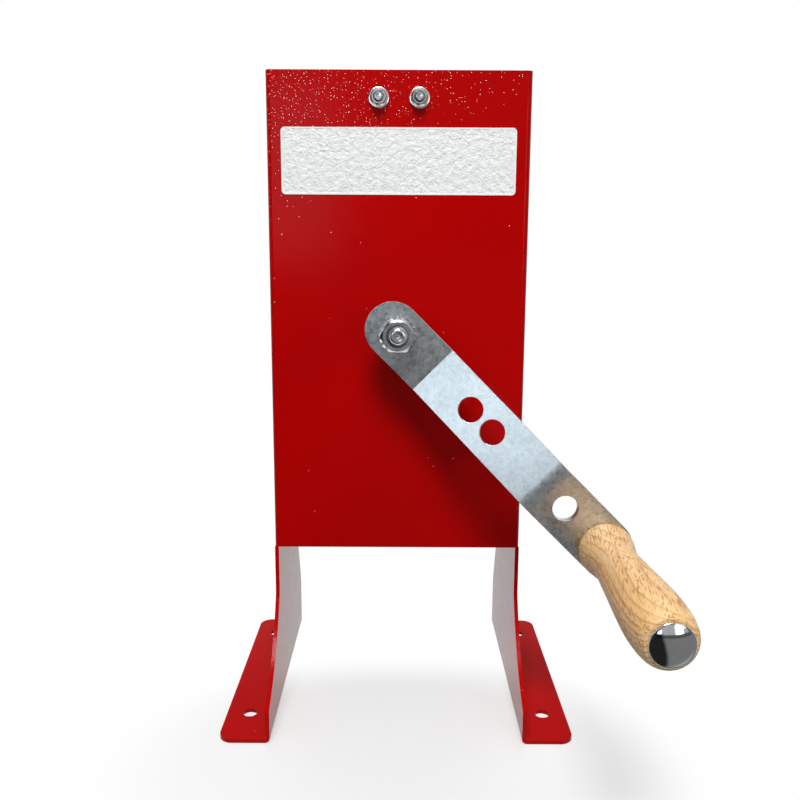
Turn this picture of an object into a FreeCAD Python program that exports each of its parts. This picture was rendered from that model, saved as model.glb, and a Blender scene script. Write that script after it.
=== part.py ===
import FreeCAD, Part
import math
import os

# Lever nutcracker press: an open-topped box on two flared legs, with two hanging jaws
# that a cam shaft and a cranked lever with a wooden grip push apart.
# All sizes are in millimetres. X runs to the right, Y from front to back and Z up.
# The origin is on the floor, at the centre of the four bolt holes in the feet.

# Sheet metal
sheet = 3.0
bend_inside = 1.0
bend_outside = bend_inside + sheet

# Housing: one folded sheet with a front, two sides, two legs and two feet
housing_width = 190.0
housing_depth = 120.0
housing_height = 480.0
front_bottom = 127.0
foot_front_reach = 64.0
foot_rear_reach = 18.0
foot_width = 35.0
foot_corner = 10.0
leg_flare_top = 89.0
leg_toe_height = 25.0
leg_flare_radius = 127.0
leg_heel_height = 45.0
leg_heel_radius = 18.0
rear_flange = 15.0

# Foot bolts, measured from the front face of the housing
foot_hole = 11.0
foot_hole_ahead = 28.0
foot_hole_behind = 110.0

# Rear wall and its screws
rear_sheet = 2.0
rear_edge_gap = 2.0
rear_screw = 5.0
rear_screw_rows = 3
rear_screw_inset = 22.0
screw_head_radius = 4.75
screw_head_height = 2.75
screw_length = 10.0
socket_flats = 3.0
socket_depth = 1.6
screw_head_rounding = 1.9
weld_nut_radius = 5.0
weld_nut_height = 4.5
weld_nut_neck = 3.5
rear_wall_corner = 4.0

# Label, bare
label_width = 169.0
label_height = 47.0
label_below_nuts = 12.5
label_corner = 3.0
label_thickness = 0.4

# Hinge rods of the jaws
rod_spacing = 29.0
rod_below_top = 19.0
rod_diameter = 10.0
rod_thread = 6.0
rod_end_length = 9.0
rod_nut_flats = 10.0
rod_nut_height = 6.5
rod_nut_flange = 15.0
rod_nut_flange_height = 1.4
rod_nut_cone = 12.5
rod_nut_turn = 20.0
rod_nut_rounding = 0.8
rod_chamfer = 0.6

# Jaws
jaw_rest_angle = 8.0
jaw_travel = 3.0
jaw_length = 310.0
jaw_thickness = 5.0
jaw_side_gap = 3.0
tube_diameter = 20.0
tube_end_gap = 0.5
rib_height = 3.0
rib_width = 5.0
rib_pitch = 20.0
rib_count = 12
rib_first = 70.0
rib_end_inset = 4.0
rib_rounding = 1.2

# Cam shaft
shaft_below_rods = 165.5
shaft_diameter = 20.0
shaft_neck = 16.0
shaft_flats = 12.0
shaft_thread = 14.0
shaft_thread_length = 16.0
shaft_rear_length = 9.0
shaft_chamfer = 1.2
centre_mark = 1.6

# Cams
cam_thickness = 8.0
cam_inset = 24.0
cam_hub_diameter = 34.0
cam_hub_length = 14.0
cam_pin = 5.0
cam_steps = 12
lever_travel = 90.0

# Stop for the front cam
stop_length = 6.0
stop_width = 10.0
stop_from_tip = 2.0

# Shaft bearings
boss_diameter = 38.0
boss_length = 12.0
bush_wall = 3.0
bush_flange = 34.0
bush_flange_height = 3.0
thrust_washer = 30.0
thrust_washer_height = 1.5
ring_diameter = 26.0
ring_height = 1.2
ring_groove = 1.2
ring_opening = 8.0

# Lever
lever_width = 40.0
lever_thickness = 6.0
lever_gap = 25.0
lever_angle = 45.0
lever_overhang = 5.0
lever_first_bend = 35.3
lever_second_bend = 144.5
lever_reach = 205.2
lever_step = 32.0
crease_radius = 1.5
sweep_radius = 40.0
lever_hole = 18.0
lever_hole_near = 39.1
lever_hole_pitch = 22.0
lever_hole_far = 39.8
spacer_diameter = 30.0

# Pivot nut and toothed washer
pivot_nut_flats = 22.0
pivot_nut_height = 11.0
washer_diameter = 27.0
washer_thickness = 1.5
washer_teeth = 18
tooth_depth = 2.0
tooth_share = 0.45

# Grip
grip_length = 147.0
grip_base_radius = 17.2
grip_bulge_radius = 19.0
grip_bulge_at = 7.5
grip_neck_radius = 15.2
grip_neck_at = 34.0
grip_belly_radius = 19.0
grip_belly_at = 114.0
grip_end_radius = 14.5
grip_shoulder_radius = 17.6
grip_shoulder_inset = 7.5
spindle_diameter = 10.0
spindle_nut_flats = 17.0
spindle_nut_height = 8.0
spindle_end = 3.0
spindle_chamfer = 1.0
spindle_washer = 20.0
spindle_washer_height = 2.0
cap_radius = 12.9
cap_rim = 1.2
cap_dome = 3.0

# Corners of every nut: the flat left on its end, and the slope of the rounded-off corners
hexagon_facing = 0.1
hexagon_slope = 30.0

# How far a cutter runs past the face that it cuts, and how close two places count as one
past = 1.0
near = 0.01

# Clearances
thread_clearance = 0.3
running_clearance = 0.05
slip_clearance = 0.1
face_gap = 0.3
cam_gap = 0.3
grip_gap = 0.4

# Places worked out from the sizes above
half_width = housing_width / 2
inner_half = half_width - sheet
front_y = -(foot_hole_behind - foot_hole_ahead) / 2
front_inner_y = front_y + sheet
back_y = front_y + housing_depth
back_inner_y = back_y - sheet
rear_outer_y = back_y + rear_sheet
foot_hole_x = half_width + foot_width / 2
rod_x = rod_spacing / 2
rod_height = housing_height - rod_below_top
label_top = rod_height - rod_nut_flange / 2 - label_below_nuts
shaft_height = rod_height - shaft_below_rods
rest_angle = math.radians(jaw_rest_angle)
jaw_ratio = jaw_travel / lever_travel
lever_back_y = front_y - lever_gap
lever_front_y = lever_back_y - lever_thickness
far_front_y = lever_front_y - lever_step
far_back_y = far_front_y + lever_thickness
crank_angle = math.radians(lever_angle)
grip_x = lever_reach * math.cos(crank_angle)
grip_z = shaft_height - lever_reach * math.sin(crank_angle)
bush_outer = shaft_diameter + 2 * (running_clearance + bush_wall)

X_AXIS = FreeCAD.Vector(1, 0, 0)
Y_AXIS = FreeCAD.Vector(0, 1, 0)
Z_AXIS = FreeCAD.Vector(0, 0, 1)


def point(x, y, z):
    return FreeCAD.Vector(x, y, z)


def block(x0, x1, y0, y1, z0, z1):
    return Part.makeBox(x1 - x0, y1 - y0, z1 - z0, point(x0, y0, z0))


def rod(radius, x, z, y0, y1):
    """A round bar along Y."""
    return Part.makeCylinder(radius, y1 - y0, point(x, y0, z), Y_AXIS)


def bore(radius, x, z, y0, y1):
    """A round cutter along Y that runs past both faces."""
    return rod(radius, x, z, y0 - past, y1 + past)


def ring(outer, inner, x, z, y0, y1):
    """A round sleeve along Y."""
    return rod(outer, x, z, y0, y1).cut(bore(inner, x, z, y0, y1))


def hexagon(flats, x, z, y0, y1, chamfered_ends=(), turn=0.0):
    """A hexagonal bar along Y with rounded-off corners; unturned, its flats are at the top and bottom."""
    corner = flats / math.sqrt(3)
    points = []
    for step in range(7):
        angle = math.radians(60 * step + turn)
        points.append(point(x + corner * math.cos(angle), y0, z + corner * math.sin(angle)))
    bar = Part.Face(Part.makePolygon(points)).extrude(point(0, y1 - y0, 0))
    length = y1 - y0
    for end in chamfered_ends:
        wide = corner + past
        narrow = flats / 2 - hexagon_facing
        rise = (wide - narrow) * math.tan(math.radians(hexagon_slope))
        if end == "front":
            limit = Part.makeCone(narrow, wide, rise, point(x, y0, z), Y_AXIS)
            limit = limit.fuse(rod(wide, x, z, y0 + rise, y1 + length))
        else:
            limit = Part.makeCone(wide, narrow, rise, point(x, y1 - rise, z), Y_AXIS)
            limit = limit.fuse(rod(wide, x, z, y0 - length, y1 - rise))
        bar = bar.common(limit)
    return bar


def same(a, b):
    """Whether two coordinates are one place."""
    return abs(a - b) < near


def runs_along(run, axis):
    """Whether an edge's run from end to end is parallel to an axis."""
    return run.Length > near and run.cross(axis).Length < near


def edges_where(solid, wanted):
    """The edges whose middle and run from end to end pass the test."""
    chosen = []
    for edge in solid.Edges:
        start, end = edge.Vertexes[0].Point, edge.Vertexes[-1].Point
        if wanted((start + end) * 0.5, end - start):
            chosen.append(edge)
    return chosen


def fillet_where(solid, radius, wanted):
    """Round the edges that pass the test."""
    return solid.makeFillet(radius, edges_where(solid, wanted))


def chamfer_where(solid, size, wanted):
    """Bevel the edges that pass the test."""
    return solid.makeChamfer(size, edges_where(solid, wanted))


def turned(profile, x, z, y_origin):
    """Turn a profile of lines and splines, in (distance forward, radius), about an axis along Y."""
    edges = []
    for kind, *data in profile:
        placed = [point(x, y_origin - along, z + radius) for along, radius in data]
        if kind == "line":
            edges.append(Part.LineSegment(placed[0], placed[1]).toShape())
        else:
            curve = Part.BSplineCurve()
            curve.interpolate(placed)
            edges.append(curve.toShape())
    face = Part.Face(Part.Wire(edges))
    return face.revolve(point(x, y_origin, z), Y_AXIS, 360)


def mirrored(solid):
    return solid.mirror(point(0, 0, 0), X_AXIS)


def group(solids):
    return Part.makeCompound(solids)


def about_shaft(solid):
    """Swing a piece drawn along +X down to the lever's angle."""
    solid.rotate(point(0, 0, shaft_height), Y_AXIS, lever_angle)
    return solid


# Housing

def rear_screw_places():
    low = front_bottom + rear_edge_gap + rear_screw_inset
    high = housing_height - rear_edge_gap - rear_screw_inset
    across = inner_half - rear_flange / 2
    step = (high - low) / (rear_screw_rows - 1)
    places = []
    for side in (-1, 1):
        for row in range(rear_screw_rows):
            places.append((side * across, low + row * step))
    return places


def folded_box():
    upright = lambda middle, run: runs_along(run, Z_AXIS)
    outer = block(-half_width, half_width, front_y, back_y, front_bottom, housing_height)
    outer = fillet_where(outer, bend_outside, upright)
    inner = block(-inner_half, inner_half, front_inner_y, back_inner_y, front_bottom, housing_height)
    inner = fillet_where(inner, bend_inside, upright)
    open_back = inner_half - rear_flange
    window = block(-open_back, open_back, back_inner_y - sheet, back_y + sheet,
                   front_bottom, housing_height)
    return outer.cut(inner).cut(window)


def leg_outline():
    """The side view of a leg: straight sides that flare to the toe and the heel."""
    toe_y = front_y - foot_front_reach
    heel_y = back_y + foot_rear_reach
    top = point(0, front_y, leg_flare_top)
    toe = point(0, toe_y, leg_toe_height)
    chord = toe - top
    half_chord = chord.Length / 2
    sag = leg_flare_radius - math.sqrt(leg_flare_radius ** 2 - half_chord ** 2)
    inward = X_AXIS.cross(chord).normalize()
    if inward.y < 0:
        inward = inward * -1
    middle = (top + toe) * 0.5 + inward * sag
    corners = [toe, point(0, toe_y, 0), point(0, heel_y, 0), point(0, heel_y, leg_heel_height),
               point(0, back_y, leg_flare_top), point(0, back_y, front_bottom),
               point(0, front_y, front_bottom), top]
    edges = [Part.Arc(top, middle, toe).toShape()]
    for start, end in zip(corners, corners[1:]):
        edges.append(Part.LineSegment(start, end).toShape())
    return Part.Face(Part.Wire(edges))


def leg_with_foot():
    """The right leg and foot: an L of bent sheet, trimmed to the leg's side view."""
    toe_y = front_y - foot_front_reach
    heel_y = back_y + foot_rear_reach
    outside = half_width + foot_width
    corners = [(inner_half, 0), (outside, 0), (outside, sheet), (half_width, sheet),
               (half_width, front_bottom), (inner_half, front_bottom), (inner_half, 0)]
    section = Part.Face(Part.makePolygon([point(x, toe_y, z) for x, z in corners]))
    angle = section.extrude(point(0, heel_y - toe_y, 0))
    low_bend = lambda middle, run: (runs_along(run, Y_AXIS) and same(middle.x, inner_half)
                                    and same(middle.z, 0))
    high_bend = lambda middle, run: (runs_along(run, Y_AXIS) and same(middle.x, half_width)
                                     and same(middle.z, sheet))
    angle = fillet_where(angle, bend_outside, low_bend)
    angle = fillet_where(angle, bend_inside, high_bend)
    outer_corner = lambda middle, run: runs_along(run, Z_AXIS) and same(middle.x, outside)
    angle = fillet_where(angle, foot_corner, outer_corner)
    side_view = leg_outline()
    side_view.translate(point(inner_half - sheet, 0, 0))
    trimmed = angle.common(side_view.extrude(point(foot_width + 3 * sheet, 0, 0)))
    heel = lambda middle, run: (runs_along(run, X_AXIS) and same(middle.y, heel_y)
                                and same(middle.z, leg_heel_height))
    knee = lambda middle, run: (runs_along(run, X_AXIS) and same(middle.y, back_y)
                                and same(middle.z, leg_flare_top))
    trimmed = fillet_where(trimmed, leg_heel_radius, heel)
    trimmed = fillet_where(trimmed, leg_heel_radius, knee)
    for hole_y in foot_hole_rows():
        hole = Part.makeCylinder(foot_hole / 2, 2 * sheet, point(foot_hole_x, hole_y, -sheet / 2))
        trimmed = trimmed.cut(hole)
    return trimmed


def foot_hole_rows():
    return (front_y - foot_hole_ahead, front_y + foot_hole_behind)


def make_housing():
    leg = leg_with_foot()
    shell = folded_box().fuse([leg, mirrored(leg)])
    holes = [bore(bush_outer / 2, 0, shaft_height, front_y, front_inner_y)]
    for side in (-1, 1):
        holes.append(bore(rod_thread / 2 + thread_clearance, side * rod_x, rod_height,
                          front_y, front_inner_y))
    for x, z in rear_screw_places():
        holes.append(bore(weld_nut_neck, x, z, back_inner_y, back_y))
    return shell.cut(holes).removeSplitter()


# Rear wall and its screws

def make_rear_wall():
    across = half_width - rear_edge_gap
    wall = block(-across, across, back_y, rear_outer_y,
                 front_bottom + rear_edge_gap, housing_height - rear_edge_gap)
    holes = [bore(bush_outer / 2, 0, shaft_height, back_y, rear_outer_y)]
    for side in (-1, 1):
        holes.append(bore(rod_thread / 2 + thread_clearance, side * rod_x, rod_height,
                          back_y, rear_outer_y))
    for x, z in rear_screw_places():
        holes.append(bore(rear_screw / 2 + thread_clearance, x, z, back_y, rear_outer_y))
    wall = wall.cut(holes)
    corner = lambda middle, run: runs_along(run, Y_AXIS) and same(abs(middle.x), across)
    return fillet_where(wall, rear_wall_corner, corner)


def make_rear_wall_screws():
    screws = []
    for x, z in rear_screw_places():
        shank = rod(rear_screw / 2, x, z, rear_outer_y - screw_length, rear_outer_y)
        crown_y = rear_outer_y + screw_head_height
        head = rod(screw_head_radius, x, z, rear_outer_y, crown_y)
        crown = lambda middle, run: same(middle.y, crown_y)
        head = fillet_where(head, screw_head_rounding, crown)
        socket = hexagon(socket_flats, x, z, crown_y - socket_depth, crown_y + past)
        screws.append(shank.fuse(head).cut(socket).removeSplitter())
    return group(screws)


def make_rear_weld_nuts():
    nuts = []
    for x, z in rear_screw_places():
        body = rod(weld_nut_radius, x, z, back_inner_y - weld_nut_height, back_inner_y)
        neck = rod(weld_nut_neck, x, z, back_inner_y, back_y)
        thread = bore(rear_screw / 2, x, z, back_inner_y - weld_nut_height, back_y)
        nuts.append(body.fuse(neck).cut(thread).removeSplitter())
    return group(nuts)


def make_label_plate():
    plate = block(-label_width / 2, label_width / 2, front_y - label_thickness, front_y,
                  label_top - label_height, label_top)
    return fillet_where(plate, label_corner, lambda middle, run: runs_along(run, Y_AXIS))


# Hinge rods of the jaws, with their nuts outside both walls

def make_hinge_rod():
    body = rod(rod_diameter / 2, rod_x, rod_height, front_inner_y, back_y)
    tip_y, tail_y = front_y - rod_end_length, rear_outer_y + rod_end_length
    front_end = rod(rod_thread / 2, rod_x, rod_height, tip_y, front_inner_y)
    rear_end = rod(rod_thread / 2, rod_x, rod_height, back_y, tail_y)
    front_end = chamfer_where(front_end, rod_chamfer, lambda middle, run: same(middle.y, tip_y))
    rear_end = chamfer_where(rear_end, rod_chamfer, lambda middle, run: same(middle.y, tail_y))
    return body.fuse([front_end, rear_end]).removeSplitter()


def flange_nut(x, face_y, outward):
    """A nut with a flange against the wall at face_y; outward is -1 in front and 1 behind."""
    step = face_y + outward * rod_nut_flange_height
    far = face_y + outward * rod_nut_height
    end = "front" if outward < 0 else "back"
    body = hexagon(rod_nut_flats, x, rod_height, min(step, far), max(step, far), (end,),
                   rod_nut_turn)
    flange = rod(rod_nut_flange / 2, x, rod_height, min(face_y, step), max(face_y, step))
    flange = fillet_where(flange, rod_nut_rounding, lambda middle, run: same(middle.y, step))
    cone = Part.makeCone(rod_nut_cone / 2, rod_nut_flats / 2, rod_nut_flange_height,
                         point(x, step, rod_height), point(0, outward, 0))
    thread = bore(rod_thread / 2, x, rod_height, min(face_y, far), max(face_y, far))
    return body.fuse([flange, cone]).cut(thread).removeSplitter()


def make_rod_nuts(face_y, outward):
    return group([flange_nut(x, face_y, outward) for x in (-rod_x, rod_x)])


# Jaws: a hinge tube on the rod, a plate below it and ribs across its outer face

def hang(solid):
    """Swing a jaw piece drawn straight down from its hinge out to the rest angle."""
    solid.rotate(point(rod_x, 0, rod_height), Y_AXIS, -jaw_rest_angle)
    return solid


def make_hinge_tube():
    return ring(tube_diameter / 2, rod_diameter / 2 + running_clearance, rod_x, rod_height,
                front_inner_y + tube_end_gap, back_y - tube_end_gap)


def make_jaw_plate():
    plate = block(rod_x - jaw_thickness / 2, rod_x + jaw_thickness / 2,
                  front_inner_y + jaw_side_gap, back_inner_y - jaw_side_gap,
                  rod_height - jaw_length, rod_height)
    tube_room = rod(tube_diameter / 2, rod_x, rod_height, front_inner_y, back_y)
    return hang(plate.cut(tube_room))


def make_jaw_ribs():
    ribs = []
    face_x = rod_x + jaw_thickness / 2
    for index in range(rib_count):
        middle = rod_height - rib_first - index * rib_pitch
        rib = block(face_x, face_x + rib_height,
                    front_inner_y + jaw_side_gap + rib_end_inset,
                    back_inner_y - jaw_side_gap - rib_end_inset,
                    middle - rib_width / 2, middle + rib_width / 2)
        crest = lambda middle, run: same(middle.x, face_x + rib_height) and runs_along(run, Y_AXIS)
        rib = fillet_where(rib, rib_rounding, crest)
        ribs.append(hang(rib))
    return group(ribs)


# Cam shaft, cams and their pins

def make_cam_shaft():
    bearing_end = rear_outer_y + bush_flange_height + face_gap
    rear_end = bearing_end + thrust_washer_height + shaft_rear_length
    body = rod(shaft_diameter / 2, 0, shaft_height, lever_back_y, rear_end)
    body = chamfer_where(body, shaft_chamfer, lambda middle, run: same(middle.y, rear_end))
    groove_y = bearing_end + thrust_washer_height
    groove = ring(shaft_diameter / 2 + past, shaft_diameter / 2 - ring_groove, 0, shaft_height,
                  groove_y, groove_y + ring_height)
    neck = rod(shaft_neck / 2, 0, shaft_height, lever_front_y, lever_back_y)
    flats = block(-shaft_neck, shaft_neck, lever_front_y, lever_back_y,
                  shaft_height - shaft_flats / 2, shaft_height + shaft_flats / 2)
    neck = about_shaft(neck.common(flats))
    thread_end = lever_front_y - shaft_thread_length
    thread = rod(shaft_thread / 2, 0, shaft_height, thread_end, lever_front_y)
    thread = chamfer_where(thread, shaft_chamfer, lambda middle, run: same(middle.y, thread_end))
    mark = Part.makeCone(centre_mark, 0, centre_mark, point(0, thread_end, shaft_height), Y_AXIS)
    shaft = body.cut(groove).fuse([neck, thread]).cut(mark)
    for y in cam_pin_places():
        shaft = shaft.cut(pin_bar(y))
    return shaft.removeSplitter()


def cam_plate_places():
    """The front faces of the two cam plates."""
    front = front_inner_y + cam_inset
    rear = back_inner_y - cam_inset - cam_thickness
    return front, rear


def cam_pin_places():
    front, rear = cam_plate_places()
    return (front + cam_thickness + cam_hub_length / 2, rear - cam_hub_length / 2)


def pin_bar(y):
    length = cam_hub_diameter
    return Part.makeCylinder(cam_pin / 2, length, point(0, y, shaft_height - length / 2))


def jaw_face_distance(angle):
    """How far the shaft's axis is from a jaw's inner face, for a jaw at this angle."""
    drop = rod_height - shaft_height
    return rod_x * math.cos(angle) + drop * math.sin(angle) - jaw_thickness / 2 - cam_gap


def cam_flank(side):
    """Points of the flank that keeps touching a jaw's flat face as the lever turns.

    The jaw turns by a fixed share of the lever's angle, so the flank is the envelope
    of the jaw's face seen from the turning cam. Side is 1 for the right jaw and -1
    for the left one.
    """
    drop = rod_height - shaft_height
    share = jaw_ratio / (1 - side * jaw_ratio)
    points = []
    for step in range(cam_steps + 1):
        lever_turn = math.radians(lever_travel * step / cam_steps)
        jaw = rest_angle + jaw_ratio * lever_turn
        reach = jaw_face_distance(jaw)
        slide = (drop * math.cos(jaw) - rod_x * math.sin(jaw)) * share
        facing = jaw if side > 0 else math.pi - jaw
        facing -= lever_turn
        x = reach * math.cos(facing) + slide * math.sin(facing)
        z = reach * math.sin(facing) - slide * math.cos(facing)
        points.append(point(x, 0, shaft_height + z))
    return points


def cam_outline():
    right, left = cam_flank(1), cam_flank(-1)
    edges = []
    for flank in (right, left):
        curve = Part.BSplineCurve()
        curve.interpolate(flank)
        edges.append(curve.toShape())
    edges.append(Part.LineSegment(right[0], left[-1]).toShape())
    edges.append(Part.LineSegment(left[0], right[-1]).toShape())
    return Part.Face(Part.Wire(Part.__sortEdges__(edges)))


def make_cam(front_face_y, hub_side):
    """A cam plate with its hub; hub_side is 1 for a hub behind the plate and -1 in front."""
    outline = cam_outline()
    outline.translate(point(0, front_face_y, 0))
    plate = outline.extrude(point(0, cam_thickness, 0))
    hub_start = front_face_y + cam_thickness if hub_side > 0 else front_face_y - cam_hub_length
    hub = rod(cam_hub_diameter / 2, 0, shaft_height, hub_start, hub_start + cam_hub_length)
    reach = cam_thickness + cam_hub_length
    eye = rod(shaft_diameter / 2, 0, shaft_height, front_face_y - reach, front_face_y + reach)
    pin = pin_bar(hub_start + cam_hub_length / 2)
    return plate.fuse(hub).cut([eye, pin]).removeSplitter()


def make_cam_pins():
    return group([pin_bar(y) for y in cam_pin_places()])


def make_lever_stop():
    """A block behind the front wall that the front cam's upper tip rests on."""
    heel, tip = cam_flank(1)[0], cam_flank(-1)[-1]
    along = (heel - tip).normalize()
    outward = point(-along.z, 0, along.x)
    if outward.z < 0:
        outward = outward * -1
    start = tip + along * stop_from_tip + outward * slip_clearance
    corners = [start, start + along * stop_length, start + along * stop_length + outward * stop_width,
               start + outward * stop_width, start]
    face = Part.Face(Part.makePolygon(corners))
    face.translate(point(0, front_inner_y, 0))
    return face.extrude(point(0, cam_inset + cam_thickness, 0))


# Bearings of the cam shaft

def make_front_boss():
    return ring(boss_diameter / 2, bush_outer / 2, 0, shaft_height,
                front_inner_y, front_inner_y + boss_length)


def make_rear_boss():
    return ring(boss_diameter / 2, bush_outer / 2, 0, shaft_height, back_y - boss_length, back_y)


def make_bush(flange_y0, body_y0, body_y1):
    bush = rod(bush_outer / 2, 0, shaft_height, body_y0, body_y1)
    flange = rod(bush_flange / 2, 0, shaft_height, flange_y0, flange_y0 + bush_flange_height)
    eye = bore(shaft_diameter / 2 + running_clearance, 0, shaft_height,
               min(flange_y0, body_y0), max(body_y1, flange_y0 + bush_flange_height))
    return bush.fuse(flange).cut(eye).removeSplitter()


def make_front_bush():
    return make_bush(front_y - bush_flange_height, front_y, front_inner_y + boss_length)


def make_rear_bush():
    return make_bush(rear_outer_y, back_y - boss_length, rear_outer_y)


def make_thrust_washer():
    start = rear_outer_y + bush_flange_height + face_gap
    return ring(thrust_washer / 2, shaft_diameter / 2, 0, shaft_height,
                start, start + thrust_washer_height)


def make_retaining_ring():
    start = rear_outer_y + bush_flange_height + face_gap + thrust_washer_height
    clip = ring(ring_diameter / 2, shaft_diameter / 2 - ring_groove, 0, shaft_height,
                start, start + ring_height)
    mouth = block(-ring_opening / 2, ring_opening / 2, start - past, start + ring_height + past,
                  shaft_height - ring_diameter, shaft_height)
    return clip.cut(mouth)


# Lever, its nut and its toothed washer

def lever_side_view():
    """The lever seen from its edge, along +X from the shaft."""
    end = lever_reach + lever_width / 2
    slope = math.atan2(lever_step, lever_second_bend - lever_first_bend)
    shift = lever_thickness * math.tan(slope / 2)
    start = -lever_overhang - lever_width / 2
    front = [(start, lever_front_y), (lever_first_bend, lever_front_y),
             (lever_second_bend, far_front_y), (end, far_front_y)]
    back = [(end, far_back_y), (lever_second_bend + shift, far_back_y),
            (lever_first_bend + shift, lever_back_y), (start, lever_back_y)]
    return front + back


def make_lever_arm():
    low = shaft_height - lever_width / 2
    outline = [point(x, y, low) for x, y in lever_side_view()]
    bar = Part.Face(Part.makePolygon(outline + outline[:1])).extrude(point(0, 0, lever_width))
    view = lever_side_view()
    for corner, radius in ((view[1], crease_radius), (view[6], crease_radius + lever_thickness),
                           (view[2], sweep_radius + lever_thickness), (view[5], sweep_radius)):
        at_corner = lambda middle, run: same(middle.x, corner[0]) and same(middle.y, corner[1])
        bar = fillet_where(bar, radius, at_corner)
    middle = block(-lever_overhang, lever_reach, far_front_y, lever_back_y, low,
                   low + lever_width)
    plan = middle.fuse([rod(lever_width / 2, x, shaft_height, far_front_y, lever_back_y)
                        for x in (-lever_overhang, lever_reach)])
    bar = bar.common(plan)
    eye = bore(shaft_neck / 2 + slip_clearance, 0, shaft_height, lever_front_y, lever_back_y)
    flats = block(-shaft_neck, shaft_neck, lever_front_y - past, lever_back_y + past,
                  shaft_height - shaft_flats / 2 - slip_clearance,
                  shaft_height + shaft_flats / 2 + slip_clearance)
    holes = [eye.common(flats)]
    holes.append(bore(spindle_diameter / 2 + slip_clearance, lever_reach, shaft_height,
                      far_front_y, far_back_y))
    holes.append(bore(lever_hole / 2, lever_reach - lever_hole_far, shaft_height,
                      far_front_y, far_back_y))
    run = lever_second_bend - lever_first_bend
    slope = math.atan2(lever_step, run)
    forward = point(math.sin(slope), math.cos(slope), 0)
    for along in (lever_hole_near, lever_hole_near + lever_hole_pitch):
        centre = point(lever_first_bend + along * math.cos(slope),
                       lever_front_y - along * math.sin(slope), shaft_height)
        holes.append(Part.makeCylinder(lever_hole / 2, 4 * lever_thickness,
                                       centre - forward * 2 * lever_thickness, forward))
    return about_shaft(bar.cut(holes).removeSplitter())


def make_lever_spacer():
    return ring(spacer_diameter / 2, shaft_diameter / 2, 0, shaft_height,
                lever_back_y, front_y - bush_flange_height - face_gap)


def make_toothed_washer():
    washer = ring(washer_diameter / 2, shaft_thread / 2, 0, shaft_height,
                  lever_front_y - washer_thickness, lever_front_y)
    pitch = 360.0 / washer_teeth
    notch_half = math.radians(pitch * (1 - tooth_share) / 2)
    root = washer_diameter / 2 - tooth_depth
    tip = washer_diameter / 2 + past
    corners = [(root, 0), (tip, -tip * math.tan(notch_half)), (tip, tip * math.tan(notch_half))]
    outline = [point(x, lever_front_y - 2 * washer_thickness, shaft_height + z) for x, z in corners]
    notch = Part.Face(Part.makePolygon(outline + outline[:1]))
    notch = notch.extrude(point(0, 3 * washer_thickness, 0))
    notches = []
    for index in range(washer_teeth):
        copy = notch.copy()
        copy.rotate(point(0, 0, shaft_height), Y_AXIS, index * pitch)
        notches.append(copy)
    return washer.cut(notches)


def make_pivot_nut():
    back = lever_front_y - washer_thickness
    front = back - pivot_nut_height
    nut = hexagon(pivot_nut_flats, 0, shaft_height, front, back, ("front",))
    nut = nut.cut(bore(shaft_thread / 2, 0, shaft_height, front, back))
    lead = Part.makeCone(shaft_thread / 2 + shaft_chamfer, shaft_thread / 2, shaft_chamfer,
                         point(0, front, shaft_height), Y_AXIS)
    return nut.cut(lead)


# Grip on its spindle

def make_handle_grip():
    bore_radius = spindle_diameter / 2 + slip_clearance
    shoulder_at = grip_length - grip_shoulder_inset
    spline = [(0.0, grip_base_radius), (grip_bulge_at, grip_bulge_radius),
              (grip_neck_at, grip_neck_radius), (grip_belly_at, grip_belly_radius),
              (shoulder_at, grip_shoulder_radius), (grip_length, grip_end_radius)]
    profile = [("line", (0.0, bore_radius), (0.0, grip_base_radius)),
               ("spline", *spline),
               ("line", (grip_length, grip_end_radius), (grip_length, bore_radius)),
               ("line", (grip_length, bore_radius), (0.0, bore_radius))]
    return turned(profile, grip_x, grip_z, far_front_y - grip_gap)


def make_handle_spindle():
    tail = far_back_y + spindle_washer_height + spindle_nut_height + spindle_end
    front = far_front_y - 2 * grip_gap - grip_length
    bar = rod(spindle_diameter / 2, grip_x, grip_z, front, tail)
    return chamfer_where(bar, spindle_chamfer, lambda middle, run: same(middle.y, tail))


def make_handle_end_cap():
    back = far_front_y - 2 * grip_gap - grip_length
    front = back - cap_rim - cap_dome
    ball = (cap_radius ** 2 + cap_dome ** 2) / (2 * cap_dome)
    dome = Part.makeSphere(ball, point(grip_x, front + ball, grip_z))
    return rod(cap_radius, grip_x, grip_z, front, back).common(dome)


def make_handle_nut():
    start = far_back_y + spindle_washer_height
    end = start + spindle_nut_height
    nut = hexagon(spindle_nut_flats, grip_x, grip_z, start, end, ("back",))
    return nut.cut(bore(spindle_diameter / 2, grip_x, grip_z, start, end))


def make_handle_washer():
    return ring(spindle_washer / 2, spindle_diameter / 2 + slip_clearance, grip_x, grip_z,
                far_back_y, far_back_y + spindle_washer_height)


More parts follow.
